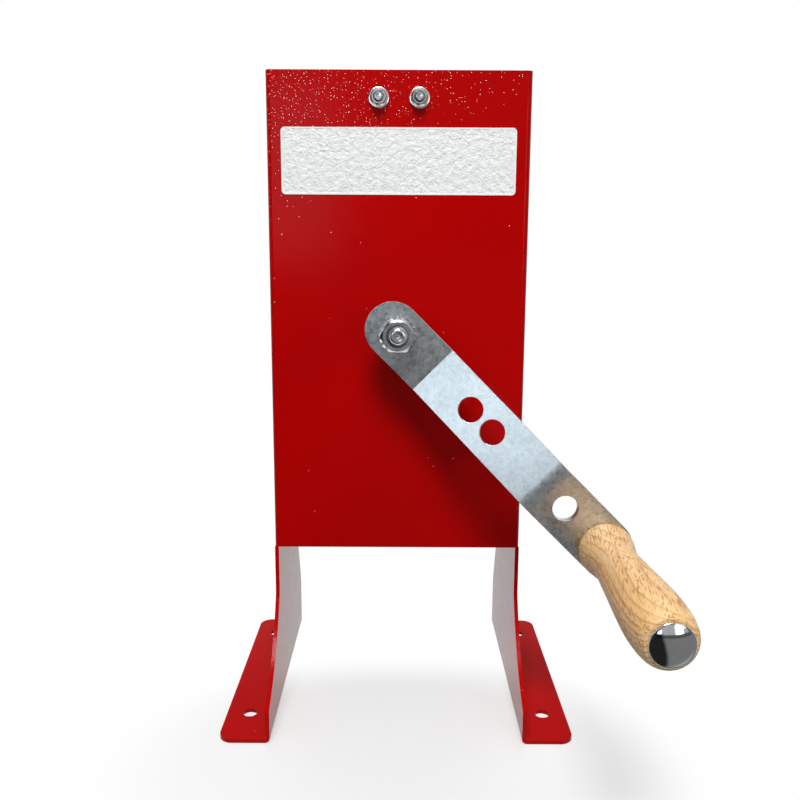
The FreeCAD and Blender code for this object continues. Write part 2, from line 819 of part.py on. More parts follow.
def build_nodes():
    front_cam_y, rear_cam_y = cam_plate_places()
    hinge_rod = make_hinge_rod()
    tube, plate, ribs = make_hinge_tube(), make_jaw_plate(), make_jaw_ribs()
    return {
        "housing": make_housing(),
        "rear_wall": make_rear_wall(),
        "rear_wall_screws": make_rear_wall_screws(),
        "rear_weld_nuts": make_rear_weld_nuts(),
        "label_plate": make_label_plate(),
        "left_hinge_rod": mirrored(hinge_rod),
        "right_hinge_rod": hinge_rod,
        "front_rod_nuts": make_rod_nuts(front_y, -1),
        "rear_rod_nuts": make_rod_nuts(rear_outer_y, 1),
        "left_hinge_tube": mirrored(tube),
        "left_jaw_plate": mirrored(plate),
        "left_jaw_ribs": mirrored(ribs),
        "right_hinge_tube": tube,
        "right_jaw_plate": plate,
        "right_jaw_ribs": ribs,
        "cam_shaft": make_cam_shaft(),
        "front_cam": make_cam(front_cam_y, 1),
        "rear_cam": make_cam(rear_cam_y, -1),
        "cam_pins": make_cam_pins(),
        "lever_stop": make_lever_stop(),
        "front_boss": make_front_boss(),
        "rear_boss": make_rear_boss(),
        "front_bush": make_front_bush(),
        "rear_bush": make_rear_bush(),
        "thrust_washer": make_thrust_washer(),
        "retaining_ring": make_retaining_ring(),
        "lever_spacer": make_lever_spacer(),
        "lever_arm": make_lever_arm(),
        "toothed_washer": make_toothed_washer(),
        "pivot_nut": make_pivot_nut(),
        "handle_spindle": make_handle_spindle(),
        "handle_washer": make_handle_washer(),
        "handle_nut": make_handle_nut(),
        "handle_grip": make_handle_grip(),
        "handle_end_cap": make_handle_end_cap(),
    }


os.makedirs("parts", exist_ok=True)
for node, shape in build_nodes().items():
    shape.exportStep("parts/" + node + ".step")
    print(node, len(shape.Solids), "solids", round(shape.Volume), "mm3", shape.isValid())
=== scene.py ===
import logging
import math
from collections.abc import Callable, Iterable, Sequence
from dataclasses import dataclass, field
from enum import Enum
from typing import Any, Union

import bmesh
import bpy
from mathutils import Euler, Matrix, Vector


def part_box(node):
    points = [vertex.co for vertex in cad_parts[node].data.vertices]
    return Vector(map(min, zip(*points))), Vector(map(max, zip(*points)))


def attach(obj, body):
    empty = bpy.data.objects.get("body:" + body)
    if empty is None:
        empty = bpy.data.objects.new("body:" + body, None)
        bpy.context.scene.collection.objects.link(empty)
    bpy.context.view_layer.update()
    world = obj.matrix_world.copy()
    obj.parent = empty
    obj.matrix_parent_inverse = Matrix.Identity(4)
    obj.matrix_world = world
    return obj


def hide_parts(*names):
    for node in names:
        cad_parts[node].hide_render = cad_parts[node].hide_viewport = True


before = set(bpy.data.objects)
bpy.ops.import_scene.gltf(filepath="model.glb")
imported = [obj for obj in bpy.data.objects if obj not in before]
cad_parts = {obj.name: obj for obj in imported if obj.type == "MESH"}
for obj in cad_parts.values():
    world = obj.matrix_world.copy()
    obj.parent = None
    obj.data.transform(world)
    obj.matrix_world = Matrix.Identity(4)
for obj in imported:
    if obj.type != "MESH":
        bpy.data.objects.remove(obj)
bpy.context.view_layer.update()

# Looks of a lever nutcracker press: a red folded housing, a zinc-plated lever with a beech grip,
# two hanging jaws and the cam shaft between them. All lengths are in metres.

MM = 0.001
ROOT_3 = math.sqrt(3)
MOST_NOISE = (0.36, 0.64)
ALL_NOISE = (0.3, 0.7)
LOG = logging.getLogger("press")

Colour = tuple[float, float, float, float]
Triple = tuple[float, float, float]
Number = Union[float, "Value"]
RadiusRule = Callable[[float], float]


class Body(Enum):
    """The moving bodies of the press."""

    FRAME = "frame"
    LEVER = "lever"
    GRIP = "grip"
    LEFT_JAW = "left_jaw"
    RIGHT_JAW = "right_jaw"


class Slot(Enum):
    """The record's material slots."""

    RED = "red_coat"
    ZINC = "zinc_steel"
    BRIGHT = "bright_zinc"
    JAW = "jaw_steel"
    BRONZE = "bronze"
    FILM = "label_film"
    BEECH = "beech"
    CHROME = "chrome_cap"


class Side(Enum):
    """The two sides of the press, as the sign of X."""

    LEFT = -1
    RIGHT = 1

    @property
    def word(self) -> str:
        """Return the side's word in the names of nodes."""
        return self.name.lower()


# Node graphs, for materials and for repeated pieces


@dataclass(frozen=True)
class Value:
    """A value carried by a node socket, which Python expressions can use."""

    graph: "Graph"
    socket: bpy.types.NodeSocket

    def combined(self, operation: str, first: Number, second: Number = 0.0) -> "Value":
        """Add a Math node.

        Args:
            operation: The node's operation.
            first: Its first operand.
            second: Its second operand, where it takes one.

        Returns:
            The node's result.
        """
        return self.graph.value("ShaderNodeMath", {"operation": operation}, {0: first, 1: second})

    def __add__(self, other: Number) -> "Value":
        """Return the sum."""
        return self.combined("ADD", self, other)

    def __radd__(self, other: Number) -> "Value":
        """Return the sum, with the number first."""
        return self.combined("ADD", other, self)

    def __sub__(self, other: Number) -> "Value":
        """Return the difference."""
        return self.combined("SUBTRACT", self, other)

    def __rsub__(self, other: Number) -> "Value":
        """Return the difference, with the number first."""
        return self.combined("SUBTRACT", other, self)

    def __mul__(self, other: Number) -> "Value":
        """Return the product."""
        return self.combined("MULTIPLY", self, other)

    def __rmul__(self, other: Number) -> "Value":
        """Return the product, with the number first."""
        return self.combined("MULTIPLY", other, self)

    def __pow__(self, other: Number) -> "Value":
        """Return the power."""
        return self.combined("POWER", self, other)

    def __rpow__(self, other: Number) -> "Value":
        """Return the power, with the number as its base."""
        return self.combined("POWER", other, self)

    def ranged(self, low: float, high: float, to_low: float = 0.0, to_high: float = 1.0,
               change: str = "LINEAR") -> "Value":
        """Map the value from one range to another and clamp it.

        Args:
            low: Where the output starts.
            high: Where the output ends.
            to_low: The output at the start.
            to_high: The output at the end.
            change: The kind of change between the two.

        Returns:
            The mapped value.
        """
        return self.graph.value("ShaderNodeMapRange", {"interpolation_type": change}, {
            "Value": self, "From Min": low, "From Max": high, "To Min": to_low,
            "To Max": to_high})

    def eased(self, band: tuple[float, float], first: float, last: float) -> "Value":
        """Return a level that eases from the first to the last over a band of the value."""
        return self.ranged(*band, first, last, "SMOOTHSTEP")


class Graph:
    """A node tree that is filled by one method."""

    def __init__(self, tree: bpy.types.NodeTree) -> None:
        """Start with an empty tree.

        Args:
            tree: The material's, world's or modifier's node tree.
        """
        self.tree = tree
        self.tree.nodes.clear()

    def node(self, kind: str, settings: dict[str, Any] | None = None,
             inputs: dict[str | int, Any] | None = None) -> bpy.types.Node:
        """Add a node.

        Args:
            kind: The node's type.
            settings: Properties to set first.
            inputs: Values or sockets for its inputs, by name or number.

        Returns:
            The new node.
        """
        node = self.tree.nodes.new(kind)
        for name, setting in (settings or {}).items():
            setattr(node, name, setting)
        for name, given in (inputs or {}).items():
            socket = given.socket if isinstance(given, Value) else given
            if isinstance(socket, bpy.types.NodeSocket):
                self.tree.links.new(socket, node.inputs[name])
            else:
                node.inputs[name].default_value = socket
        return node

    def value(self, kind: str, settings: dict[str, Any] | None = None,
              inputs: dict[str | int, Any] | None = None, output: str | int = 0) -> Value:
        """Add a node and take one of its outputs.

        Args:
            kind: The node's type.
            settings: Properties to set first.
            inputs: Values or sockets for its inputs.
            output: Which output to take.

        Returns:
            The output, for use in expressions.
        """
        return Value(self, self.node(kind, settings, inputs).outputs[output])

    def place(self, location: Sequence[float] = (0.0, 0.0, 0.0), turn: Triple = (0.0, 0.0, 0.0),
              stretch: Triple = (1.0, 1.0, 1.0)) -> Value:
        """Read the object's coordinates, moved, turned and stretched.

        Args:
            location: The point that becomes the origin, before the turn.
            turn: The turn, in degrees.
            stretch: A factor for each axis, after the turn.

        Returns:
            The coordinates.
        """
        where = self.value("ShaderNodeTexCoord", output="Object")
        for change, amounts in (("Location", [-place for place in location]),
                                ("Rotation", [math.radians(angle) for angle in turn]),
                                ("Scale", stretch)):
            where = self.value("ShaderNodeMapping", {}, {"Vector": where, change: amounts})
        return where

    def axes(self, where: Value) -> tuple[Value, ...]:
        """Return the parts of some coordinates along X, Y and Z."""
        apart = self.node("ShaderNodeSeparateXYZ", {}, {0: where})
        return tuple(Value(self, part) for part in apart.outputs)

    def noise(self, where: Value, scale: float, detail: float = 2.0, roughness: float = 0.5,
              distortion: float = 0.0) -> Value:
        """Add a noise texture.

        Args:
            where: The coordinates to read.
            scale: Features to a metre.
            detail: Octaves.
            roughness: Strength of the finer octaves.
            distortion: How far the noise is warped.

        Returns:
            A value around a half.
        """
        return self.value("ShaderNodeTexNoise", {}, {
            "Vector": where, "Scale": scale, "Detail": detail, "Roughness": roughness,
            "Distortion": distortion})

    def mixed(self, factor: Value, first: Any, second: Any) -> Value:
        """Mix two colours.

        Args:
            factor: The share of the second colour.
            first: The first colour, or a value with it.
            second: The second colour, or a value with it.

        Returns:
            The mixed colour.
        """
        return self.value("ShaderNodeMix", {"data_type": "RGBA"},
                          {0: factor, 6: first, 7: second}, 2)

    def bump(self, height: Value, strength: float, distance: float) -> Value:
        """Add a bump.

        Args:
            height: The height, around a half.
            strength: How much the bump counts.
            distance: The height of one unit, in metres.

        Returns:
            The bent normal.
        """
        return self.value("ShaderNodeBump", {}, {
            "Strength": strength, "Distance": distance, "Height": height})

    def skin(self, colour: Value, rough: Number, normal: Value, gloss: float = 0.5,
             metal: float = 0.0) -> Value:
        """Add the shader of a surface.

        Args:
            colour: Its colour.
            rough: Its roughness.
            normal: Its bent normal.
            gloss: How strongly its coat shines.
            metal: How metallic it is.

        Returns:
            The shader.
        """
        return self.value("ShaderNodeBsdfPrincipled", {}, {
            "Base Color": colour, "Roughness": rough, "Normal": normal,
            "Specular IOR Level": gloss, "Metallic": metal})


def new_material(name: str) -> tuple[bpy.types.Material, Graph]:
    """Make an empty material.

    Args:
        name: Its name.

    Returns:
        The material with its graph.
    """
    material = bpy.data.materials.new(name)
    material.use_nodes = True
    return material, Graph(material.node_tree)


# Finishes


@dataclass(frozen=True)
class Finish:
    """A surface finish, which builds one material."""

    name: str

    def build(self) -> bpy.types.Material:
        """Build the material.

        Returns:
            The finished material.
        """
        material, graph = new_material(self.name)
        shader = self.shade(graph)
        graph.node("ShaderNodeOutputMaterial", {}, {"Surface": shader})
        return material

    def shade(self, graph: Graph) -> Value:
        """Return the shader, which each finish adds in its own way."""
        raise NotImplementedError


@dataclass(frozen=True)
class PowderCoat(Finish):
    """Gloss powder coat with a faint orange peel and small raised grains that catch the light."""

    name: str = "red_powder_coat"
    deep: Colour = (0.385, 0.0004, 0.0006, 1.0)
    full: Colour = (0.435, 0.0006, 0.0008, 1.0)
    gloss: float = 0.08
    rough: tuple[float, float] = (0.13, 0.18)
    cloud_scale: float = 9.0
    wave_scale: float = 170.0
    peel_scale: float = 620.0
    peel_strength: float = 0.6
    peel_height: float = 0.06 * MM
    grain_scale: float = 470.0
    grain_radius: float = 0.36
    grain_rim: float = 0.85
    grain_height: float = 0.45 * MM
    grain_gloss: float = 1.0
    grain_rough: float = 0.2
    grain_slant: float = -0.55
    grain_climb: tuple[float, float] = (0.41, 0.525)
    grain_front: tuple[float, float] = (-36.0 * MM, -40.0 * MM)
    grain_share: tuple[float, float] = (0.004, 0.95)

    def shade(self, graph: Graph) -> Value:
        """Add a red gloss coat.

        Args:
            graph: The material's graph.

        Returns:
            The shader.
        """
        where = graph.place()
        cloud = graph.noise(where, self.cloud_scale)
        peel = graph.noise(where, self.peel_scale, 1.5, 0.5, 0.2)
        wave = graph.noise(where, self.wave_scale, 1.0)
        colour = graph.mixed(cloud.ranged(*ALL_NOISE), self.deep, self.full)
        skin = graph.bump(peel * 0.7 + wave * 0.3, self.peel_strength, self.peel_height)
        coat = graph.skin(colour, wave.ranged(*ALL_NOISE, *self.rough), skin, self.gloss)
        across, ahead, up = graph.axes(where)
        climb = up + across * self.grain_slant
        front = ahead.ranged(*self.grain_front)
        share = climb.ranged(*self.grain_climb, *self.grain_share) * front
        cells = graph.node("ShaderNodeTexVoronoi", {}, {"Vector": where, "Scale": self.grain_scale})
        away = Value(graph, cells.outputs["Distance"])
        luck = graph.value("ShaderNodeSeparateColor", {}, {0: cells.outputs["Color"]})
        chosen = luck.combined("LESS_THAN", luck, share)
        dome = graph.bump(away.ranged(self.grain_radius, 0.0), 1.0, self.grain_height)
        grain = graph.skin(colour, self.grain_rough, dome, self.grain_gloss)
        inside = away.ranged(self.grain_radius, self.grain_radius * self.grain_rim)
        return graph.value("ShaderNodeMixShader", {}, {0: inside * chosen, 1: coat, 2: grain})


@dataclass(frozen=True)
class Plated(Finish):
    """Plated metal with soft mottling, fine scratches and a fine grain."""

    dark: Colour
    light: Colour
    smooth: float
    coarse: float
    mottle_scale: float
    metal: float = 1.0
    scratches: float = 0.3
    relief: float = 0.02 * MM
    relief_strength: float = 0.5
    cloud_scale_share: float = 0.22
    grain_scale: float = 2100.0
    scratch_turns: Triple = (-38.0, 27.0, 81.0)
    scratch_scale: float = 520.0
    scratch_stretch: Triple = (0.07, 1.0, 1.0)
    scratch_width: float = 0.015
    scratch_rough: float = 0.06
    patch_scale: float = 80.0
    patch_edge: tuple[float, float] = (0.42, 0.58)

    def shade(self, graph: Graph) -> Value:
        """Add a plated metal.

        Args:
            graph: The material's graph.

        Returns:
            The shader.
        """
        where = graph.place()
        mottle = graph.noise(where, self.mottle_scale, 5.0, 0.58, 0.5)
        cloud = graph.noise(where, self.mottle_scale * self.cloud_scale_share)
        grain = graph.noise(where, self.grain_scale, 1.0)
        scratch: Number = 0.0
        for turn in self.scratch_turns:
            along = graph.place((turn, 0.0, turn), (0.0, turn, 0.0), self.scratch_stretch)
            line = graph.noise(along, self.scratch_scale, 1.0, 0.5, 0.25)
            patch = graph.noise(where, self.patch_scale + turn * 0.1, 1.0)
            sharp = (line.ranged(0.5 - self.scratch_width, 0.5)
                     * line.ranged(0.5 + self.scratch_width, 0.5))
            scratch = sharp * patch.ranged(*self.patch_edge) + scratch
        tone = (mottle * 0.75 + cloud * 0.25).ranged(*MOST_NOISE)
        tone = (tone + scratch * self.scratches).ranged(0.0, 1.0)
        rough = (mottle * 0.5 + cloud * 0.5).ranged(*MOST_NOISE, self.smooth, self.coarse)
        height = grain * 0.3 + mottle * 0.4 - scratch * self.scratches
        return graph.skin(graph.mixed(tone, self.dark, self.light),
                          rough + scratch * self.scratch_rough,
                          graph.bump(height, self.relief_strength, self.relief), metal=self.metal)


@dataclass(frozen=True)
class LabelFilm(Finish):
    """A bare white film that follows the coat's orange peel, with painted shade in the peel's
    hollows and a smooth pressed border that stays white.
    """

    name: str = "white_film"
    centre: Triple = (0.0, 0.0, 0.0)
    half_width: float = 84.5 * MM
    half_height: float = 23.5 * MM
    border: float = 1.3 * MM
    border_fade: float = 0.15
    white: Colour = (0.845, 0.845, 0.84, 1.0)
    # The colour of the painted shade, which is put in the hollows of the peel's relief.
    shaded: Colour = (0.70, 0.70, 0.71, 1.0)
    gloss: float = 0.35
    rough: float = 0.34
    peel_scale: float = 235.0
    peel_spread: tuple[float, float] = (0.36, 0.62)
    peel_height: float = 0.46 * MM
    border_level: float = 0.9

    def shade(self, graph: Graph) -> Value:
        """Add a white gloss film, with painted shade in the hollows of its relief.

        Args:
            graph: The material's graph.

        Returns:
            The shader.
        """
        where = graph.place(self.centre)
        across, _, up = graph.axes(where)
        edge: Number = 0.0
        for offset, half in ((across, self.half_width), (up, self.half_height)):
            reach = offset.combined("ABSOLUTE", offset)
            near = reach.ranged(half - self.border * (1 + self.border_fade),
                                half - self.border * (1 - self.border_fade))
            edge = near.combined("MAXIMUM", near, edge)
        peel = graph.noise(where, self.peel_scale, 3.0, 0.55, 0.4)
        fine = graph.noise(where, self.peel_scale * 3.0, 2.0, 0.5, 0.3)
        relief = (peel * 0.75 + fine * 0.25).ranged(*self.peel_spread)
        # Painted shade: the colour goes from white towards the shaded colour where the relief is
        # low, and the border stays white.
        tone = relief.combined("MAXIMUM", relief ** 0.6, edge)
        height = relief * (1.0 - edge) + edge * self.border_level
        return graph.skin(graph.mixed(tone, self.shaded, self.white), self.rough,
                          graph.bump(height, 1.0, self.peel_height), self.gloss)


@dataclass(frozen=True)
class Beech(Finish):
    """Lacquered beech with growth rings and short dark flecks along the grain."""

    name: str = "beech"
    centre: Triple = (0.0, 0.0, 0.0)
    pale: Colour = (0.80, 0.555, 0.30, 1.0)
    warm: Colour = (0.74, 0.435, 0.15, 1.0)
    ring_line: Colour = (0.44, 0.185, 0.045, 1.0)
    fleck: Colour = (0.30, 0.105, 0.022, 1.0)
    gloss: float = 0.35
    rough: tuple[float, float] = (0.40, 0.52)
    relief: float = 0.12 * MM
    relief_strength: float = 0.35
    ring_pitch: float = 3.1 * MM
    ring_wander: float = 4.2 * MM
    ring_waver: float = 0.9 * MM
    pith: Triple = (-7.0 * MM, 0.0, -25.0 * MM)
    pith_tilt: Triple = (1.6, 0.0, 1.2)
    grain_tilt: Triple = (-5.0, 0.0, 9.0)
    late_wood: tuple[float, float] = (0.30, 0.96)
    ring_close: tuple[float, float] = (1.0, 0.965)
    ring_share: float = 0.75
    fibre_scale: float = 1250.0
    fibre_stretch: Triple = (1.0, 0.04, 1.0)
    fibre_spread: tuple[float, float] = (0.46, 0.78)
    fibre_share: float = 0.42
    fleck_scale: float = 1000.0
    fleck_stretch: Triple = (1.0, 0.12, 1.0)
    fleck_edge: tuple[float, float] = (0.545, 0.62)
    fleck_share: float = 0.70
    crowd_scale: float = 75.0
    crowd_edge: tuple[float, float] = (0.28, 0.50)

    def shade(self, graph: Graph) -> Value:
        """Add a turned piece of beech.

        Args:
            graph: The material's graph.

        Returns:
            The shader.
        """
        pith = [middle + off for middle, off in zip(self.centre, self.pith)]
        where = graph.place(pith, self.pith_tilt, self.fleck_stretch)
        slow = graph.noise(where, 60.0)
        quick = graph.noise(where, 260.0)
        across, _, up = graph.axes(where)
        reach = (across * across + up * up) ** 0.5
        reach = reach + slow * self.ring_wander + quick * self.ring_waver
        phase = reach.combined("FRACT", reach * (1.0 / self.ring_pitch))
        late = phase.ranged(*self.late_wood) ** 3.0 * phase.ranged(*self.ring_close)
        late = late * graph.noise(where, 110.0, 1.0).ranged(0.36, 0.60, 0.22, 1.0)
        fibre = graph.place(self.centre, self.grain_tilt, self.fibre_stretch)
        fibres = graph.noise(fibre, self.fibre_scale, 2.0, 0.6)
        dash = graph.place(self.centre, self.grain_tilt, self.fleck_stretch)
        dashes = graph.noise(dash, self.fleck_scale, 1.5)
        crowd = graph.noise(where, self.crowd_scale, 1.0)
        wood = graph.mixed((slow * 0.6 + late * 0.4).ranged(0.2, 0.6), self.pale, self.warm)
        wood = graph.mixed(late * self.ring_share, wood, self.ring_line)
        streak = fibres.ranged(*self.fibre_spread)
        wood = graph.mixed(streak * self.fibre_share, wood, self.ring_line)
        mark = dashes.ranged(*self.fleck_edge) * crowd.ranged(*self.crowd_edge)
        wood = graph.mixed(mark * self.fleck_share, wood, self.fleck)
        height = fibres * 0.35 - mark * 0.5 - late * 0.2
        return graph.skin(wood, fibres.ranged(*ALL_NOISE, *self.rough),
                          graph.bump(height, self.relief_strength, self.relief), self.gloss)


# Mesh helpers


def smooth_up_to(mesh: bpy.types.Mesh, crease: float) -> None:
    """Shade a mesh smooth up to an angle, so that broad faces stay flat.

    Args:
        mesh: The mesh.
        crease: The angle past which an edge stays sharp, in degrees.
    """
    limit = math.cos(math.radians(crease))
    facing = [face.normal * face.area for face in mesh.polygons]
    around: list[list[int]] = [[] for _ in mesh.vertices]
    for face in mesh.polygons:
        for corner in face.vertices:
            around[corner].append(face.index)
    normals = [face.normal.copy() for face in mesh.polygons for _ in face.vertices]
    for face in mesh.polygons:
        for loop, corner in zip(face.loop_indices, face.vertices):
            total = Vector()
            for other in around[corner]:
                if mesh.polygons[other].normal.dot(face.normal) > limit:
                    total += facing[other]
            if total.length > 0:
                normals[loop] = total.normalized()
    mesh.shade_smooth()
    mesh.normals_split_custom_set(normals)


def mesh_piece(name: str, sheet: bmesh.types.BMesh, crease: float) -> bpy.types.Object:
    """Make an object from mesh data, shaded smooth up to an angle.

    Args:
        name: The piece's name.
        sheet: The mesh data, which is freed.
        crease: The angle past which an edge stays sharp, in degrees.

    Returns:
        The new object, linked to the scene.
    """
    mesh = plain_mesh(name, sheet)
    smooth_up_to(mesh, crease)
    piece = bpy.data.objects.new(name, mesh)
    bpy.context.scene.collection.objects.link(piece)
    return piece


def plain_mesh(name: str, sheet: bmesh.types.BMesh) -> bpy.types.Mesh:
    """Make a mesh from mesh data.

    Args:
        name: The mesh's name.
        sheet: The mesh data, which is freed.

    Returns:
        The new mesh.
    """
    mesh = bpy.data.meshes.new(name)
    sheet.to_mesh(mesh)
    sheet.free()
    return mesh


def eased_copy(node: str, width: float) -> bpy.types.Object:
    """Copy a node, join its triangles into clean faces and ease its sharp edges.

    Args:
        node: The node's name.
        width: The width of the eased edge.

    Returns:
        The new object, named after the node.
    """
    touching, flat, sharp = 0.001 * MM, math.radians(0.5), math.radians(30.0)
    sheet = bmesh.new()
    sheet.from_mesh(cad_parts[node].data)
    bmesh.ops.remove_doubles(sheet, verts=sheet.verts, dist=touching)
    bmesh.ops.dissolve_limit(sheet, angle_limit=flat, verts=sheet.verts, edges=sheet.edges)
    edges = [edge for edge in sheet.edges
             if len(edge.link_faces) == 2 and edge.calc_face_angle() > sharp]
    bmesh.ops.bevel(sheet, geom=edges, offset=width, segments=2, profile=0.5, affect="EDGES",
                    clamp_overlap=True)
    return mesh_piece(node + "_finished", sheet, 35.0)


@dataclass(frozen=True)
class Ring:
    """One ring of a turned piece: a height along the axis and a radius that may vary by angle."""

    height: float
    radius: float | RadiusRule

    def at(self, angle: float) -> float:
        """Return the radius at an angle."""
        return self.radius(angle) if callable(self.radius) else self.radius


@dataclass(frozen=True)
class Axis:
    """An axis along Y through a point, with the direction in which heights grow."""

    x: float
    z: float
    base: float
    outward: int = -1

    def point(self, radius: float, angle: float, height: float) -> Vector:
        """Return the place at a radius, an angle and a height."""
        return Vector((self.x + radius * math.cos(angle), self.base + self.outward * height,
                       self.z + radius * math.sin(angle)))


class Extent:
    """The box round a node."""

    def __init__(self, node: str) -> None:
        """Measure a node.

        Args:
            node: The node's name.
        """
        self.low, self.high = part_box(node)
        self.middle = (self.low + self.high) / 2
        self.radius = (self.high.x - self.low.x) / 2
        self.length = self.high.y - self.low.y

    def axis(self, outward: int = -1) -> Axis:
        """Return the axis through the middle whose heights start at one end and grow outwards."""
        base = self.high.y if outward < 0 else self.low.y
        return Axis(self.middle.x, self.middle.z, base, outward)


def arc(centre: tuple[float, float], size: tuple[float, float],
        angles: Iterable[float]) -> list[tuple[float, float]]:
    """List places on an elliptical arc.

    Args:
        centre: The height and the radius of its centre.
        size: Its size in height and in radius.
        angles: The angles of the places, in degrees, with nought straight outwards.

    Returns:
        Heights with radii.
    """
    turns = [math.radians(angle) for angle in angles]
    return [(centre[0] + size[0] * math.sin(turn), centre[1] + size[1] * math.cos(turn))
            for turn in turns]


def join_rows(sheet: bmesh.types.BMesh, rows: Sequence[Sequence[bmesh.types.BMVert]],
              looped: bool) -> list[bmesh.types.BMFace]:
    """Join rows of points into a wall.

    Args:
        sheet: The mesh data.
        rows: The rows, each closed in itself.
        looped: Whether the last row joins the first.

    Returns:
        The new faces.
    """
    faces = []
    for first, second in list(zip(rows, rows[1:])) + ([(rows[-1], rows[0])] if looped else []):
        for index in range(len(first)):
            after = (index + 1) % len(first)
            corners = (first[index], first[after], second[after], second[index])
            faces.append(sheet.faces.new(corners))
    return faces


def turned_piece(name: str, rings: Sequence[Ring], axes: Sequence[Axis], steps: int,
                 looped: bool = False, crease: float = 30.0, turn: float = 0.0) -> bpy.types.Object:
    """Build a piece with a closed turned shape on each axis.

    Args:
        name: The piece's name.
        rings: The rings, in order round the section.
        axes: The axes of the shapes.
        steps: Points in each ring.
        looped: Whether the last ring joins the first, where both ends are closed otherwise.
        crease: The angle past which an edge stays sharp, in degrees.
        turn: The angle of the first point, in degrees.

    Returns:
        The new object.
    """
    sheet = bmesh.new()
    angles = [math.radians(turn) + 2 * math.pi * index / steps for index in range(steps)]
    for axis in axes:
        rows = [[sheet.verts.new(axis.point(ring.at(angle), angle, ring.height))
                 for angle in angles] for ring in rings]
        faces = join_rows(sheet, rows, looped)
        ends = [] if looped else [rows[0], rows[-1]]
        for row in ends:
            pole = sheet.verts.new(sum((vert.co for vert in row), Vector()) / steps)
            faces += [sheet.faces.new((row[index], row[(index + 1) % steps], pole))
                      for index in range(steps)]
        bmesh.ops.recalc_face_normals(sheet, faces=faces)
    return mesh_piece(name, sheet, crease)


def hexagon_rule(flats: float, turn: float, trim: float = 0.985) -> RadiusRule:
    """Give the radius of a hexagon with slightly dulled corners.

    Args:
        flats: The width across flats.
        turn: The angle of a corner, in degrees.
        trim: The share of the corner's radius that is left.

    Returns:
        A function from angle to radius.
    """
    def radius(angle: float) -> float:
        """Return the radius at an angle."""
        off = (angle - math.radians(turn)) % (math.pi / 3) - math.pi / 6
        return min(flats / 2 / math.cos(off), flats / ROOT_3 * trim)

    return radius


def bounded(rule: RadiusRule, least: float = 0.0, most: float = math.inf) -> RadiusRule:
    """Return a rule that stays between two radii."""
    return lambda angle: min(max(rule(angle), least), most)


@dataclass(frozen=True)
class Nut:
    """A hexagon nut, with or without a flange, whose chamfers slope by 30 degrees."""

    flats: float
    height: float
    bore: float
    lead: float
    turn: float = 0.0
    flange: float = 0.0
    flange_height: float = 0.0
    cone: float = 0.0
    foot_face: float = 0.99
    crown_face: float = 0.95
    chamfer_step: float = 0.35 * MM
    points: int = 144
    crease: float = 24.0

    def rings(self) -> list[Ring]:
        """List the nut's rings, from the bore's foot outwards and back.

        Returns:
            The rings of a looped section.
        """
        hexagon = hexagon_rule(self.flats, self.turn)
        half = self.flats / 2
        rings = [Ring(0.0, self.bore)]
        if self.flange:
            ease = 0.35 * self.flange_height
            top = self.flange_height - ease
            rings += [Ring(0.0, self.flange - ease), Ring(ease, self.flange), Ring(top, self.flange)]
            rings += [Ring(*place) for place in
                      arc((top, self.flange - 2 * ease), (ease, 2 * ease), (30, 60, 90))]
            for share in (0.0, 0.25, 0.5, 0.75, 1.0):
                least = self.cone + (half - self.cone) * share
                rings.append(Ring(self.flange_height * (1 + share) + 0.01 * MM,
                                  bounded(hexagon, least)))
        else:
            for drop in (self.chamfer_step * step for step in range(6)):
                most = half * self.foot_face + drop * ROOT_3
                rings.append(Ring(drop, bounded(hexagon, most=most)))
        crown = half * self.crown_face
        fall = (self.flats / ROOT_3 - crown) / ROOT_3
        for drop in (fall * step / 8 for step in range(8, -1, -1)):
            rings.append(Ring(self.height - drop, bounded(hexagon, most=crown + drop * ROOT_3)))
        rings += [Ring(self.height, self.bore + self.lead), Ring(self.height - self.lead, self.bore)]
        return rings

    def build(self, name: str, axes: Sequence[Axis]) -> bpy.types.Object:
        """Return a piece with a nut on each axis."""
        return turned_piece(name, self.rings(), axes, self.points, True, self.crease, self.turn)


# Repeated pieces, made by geometry nodes


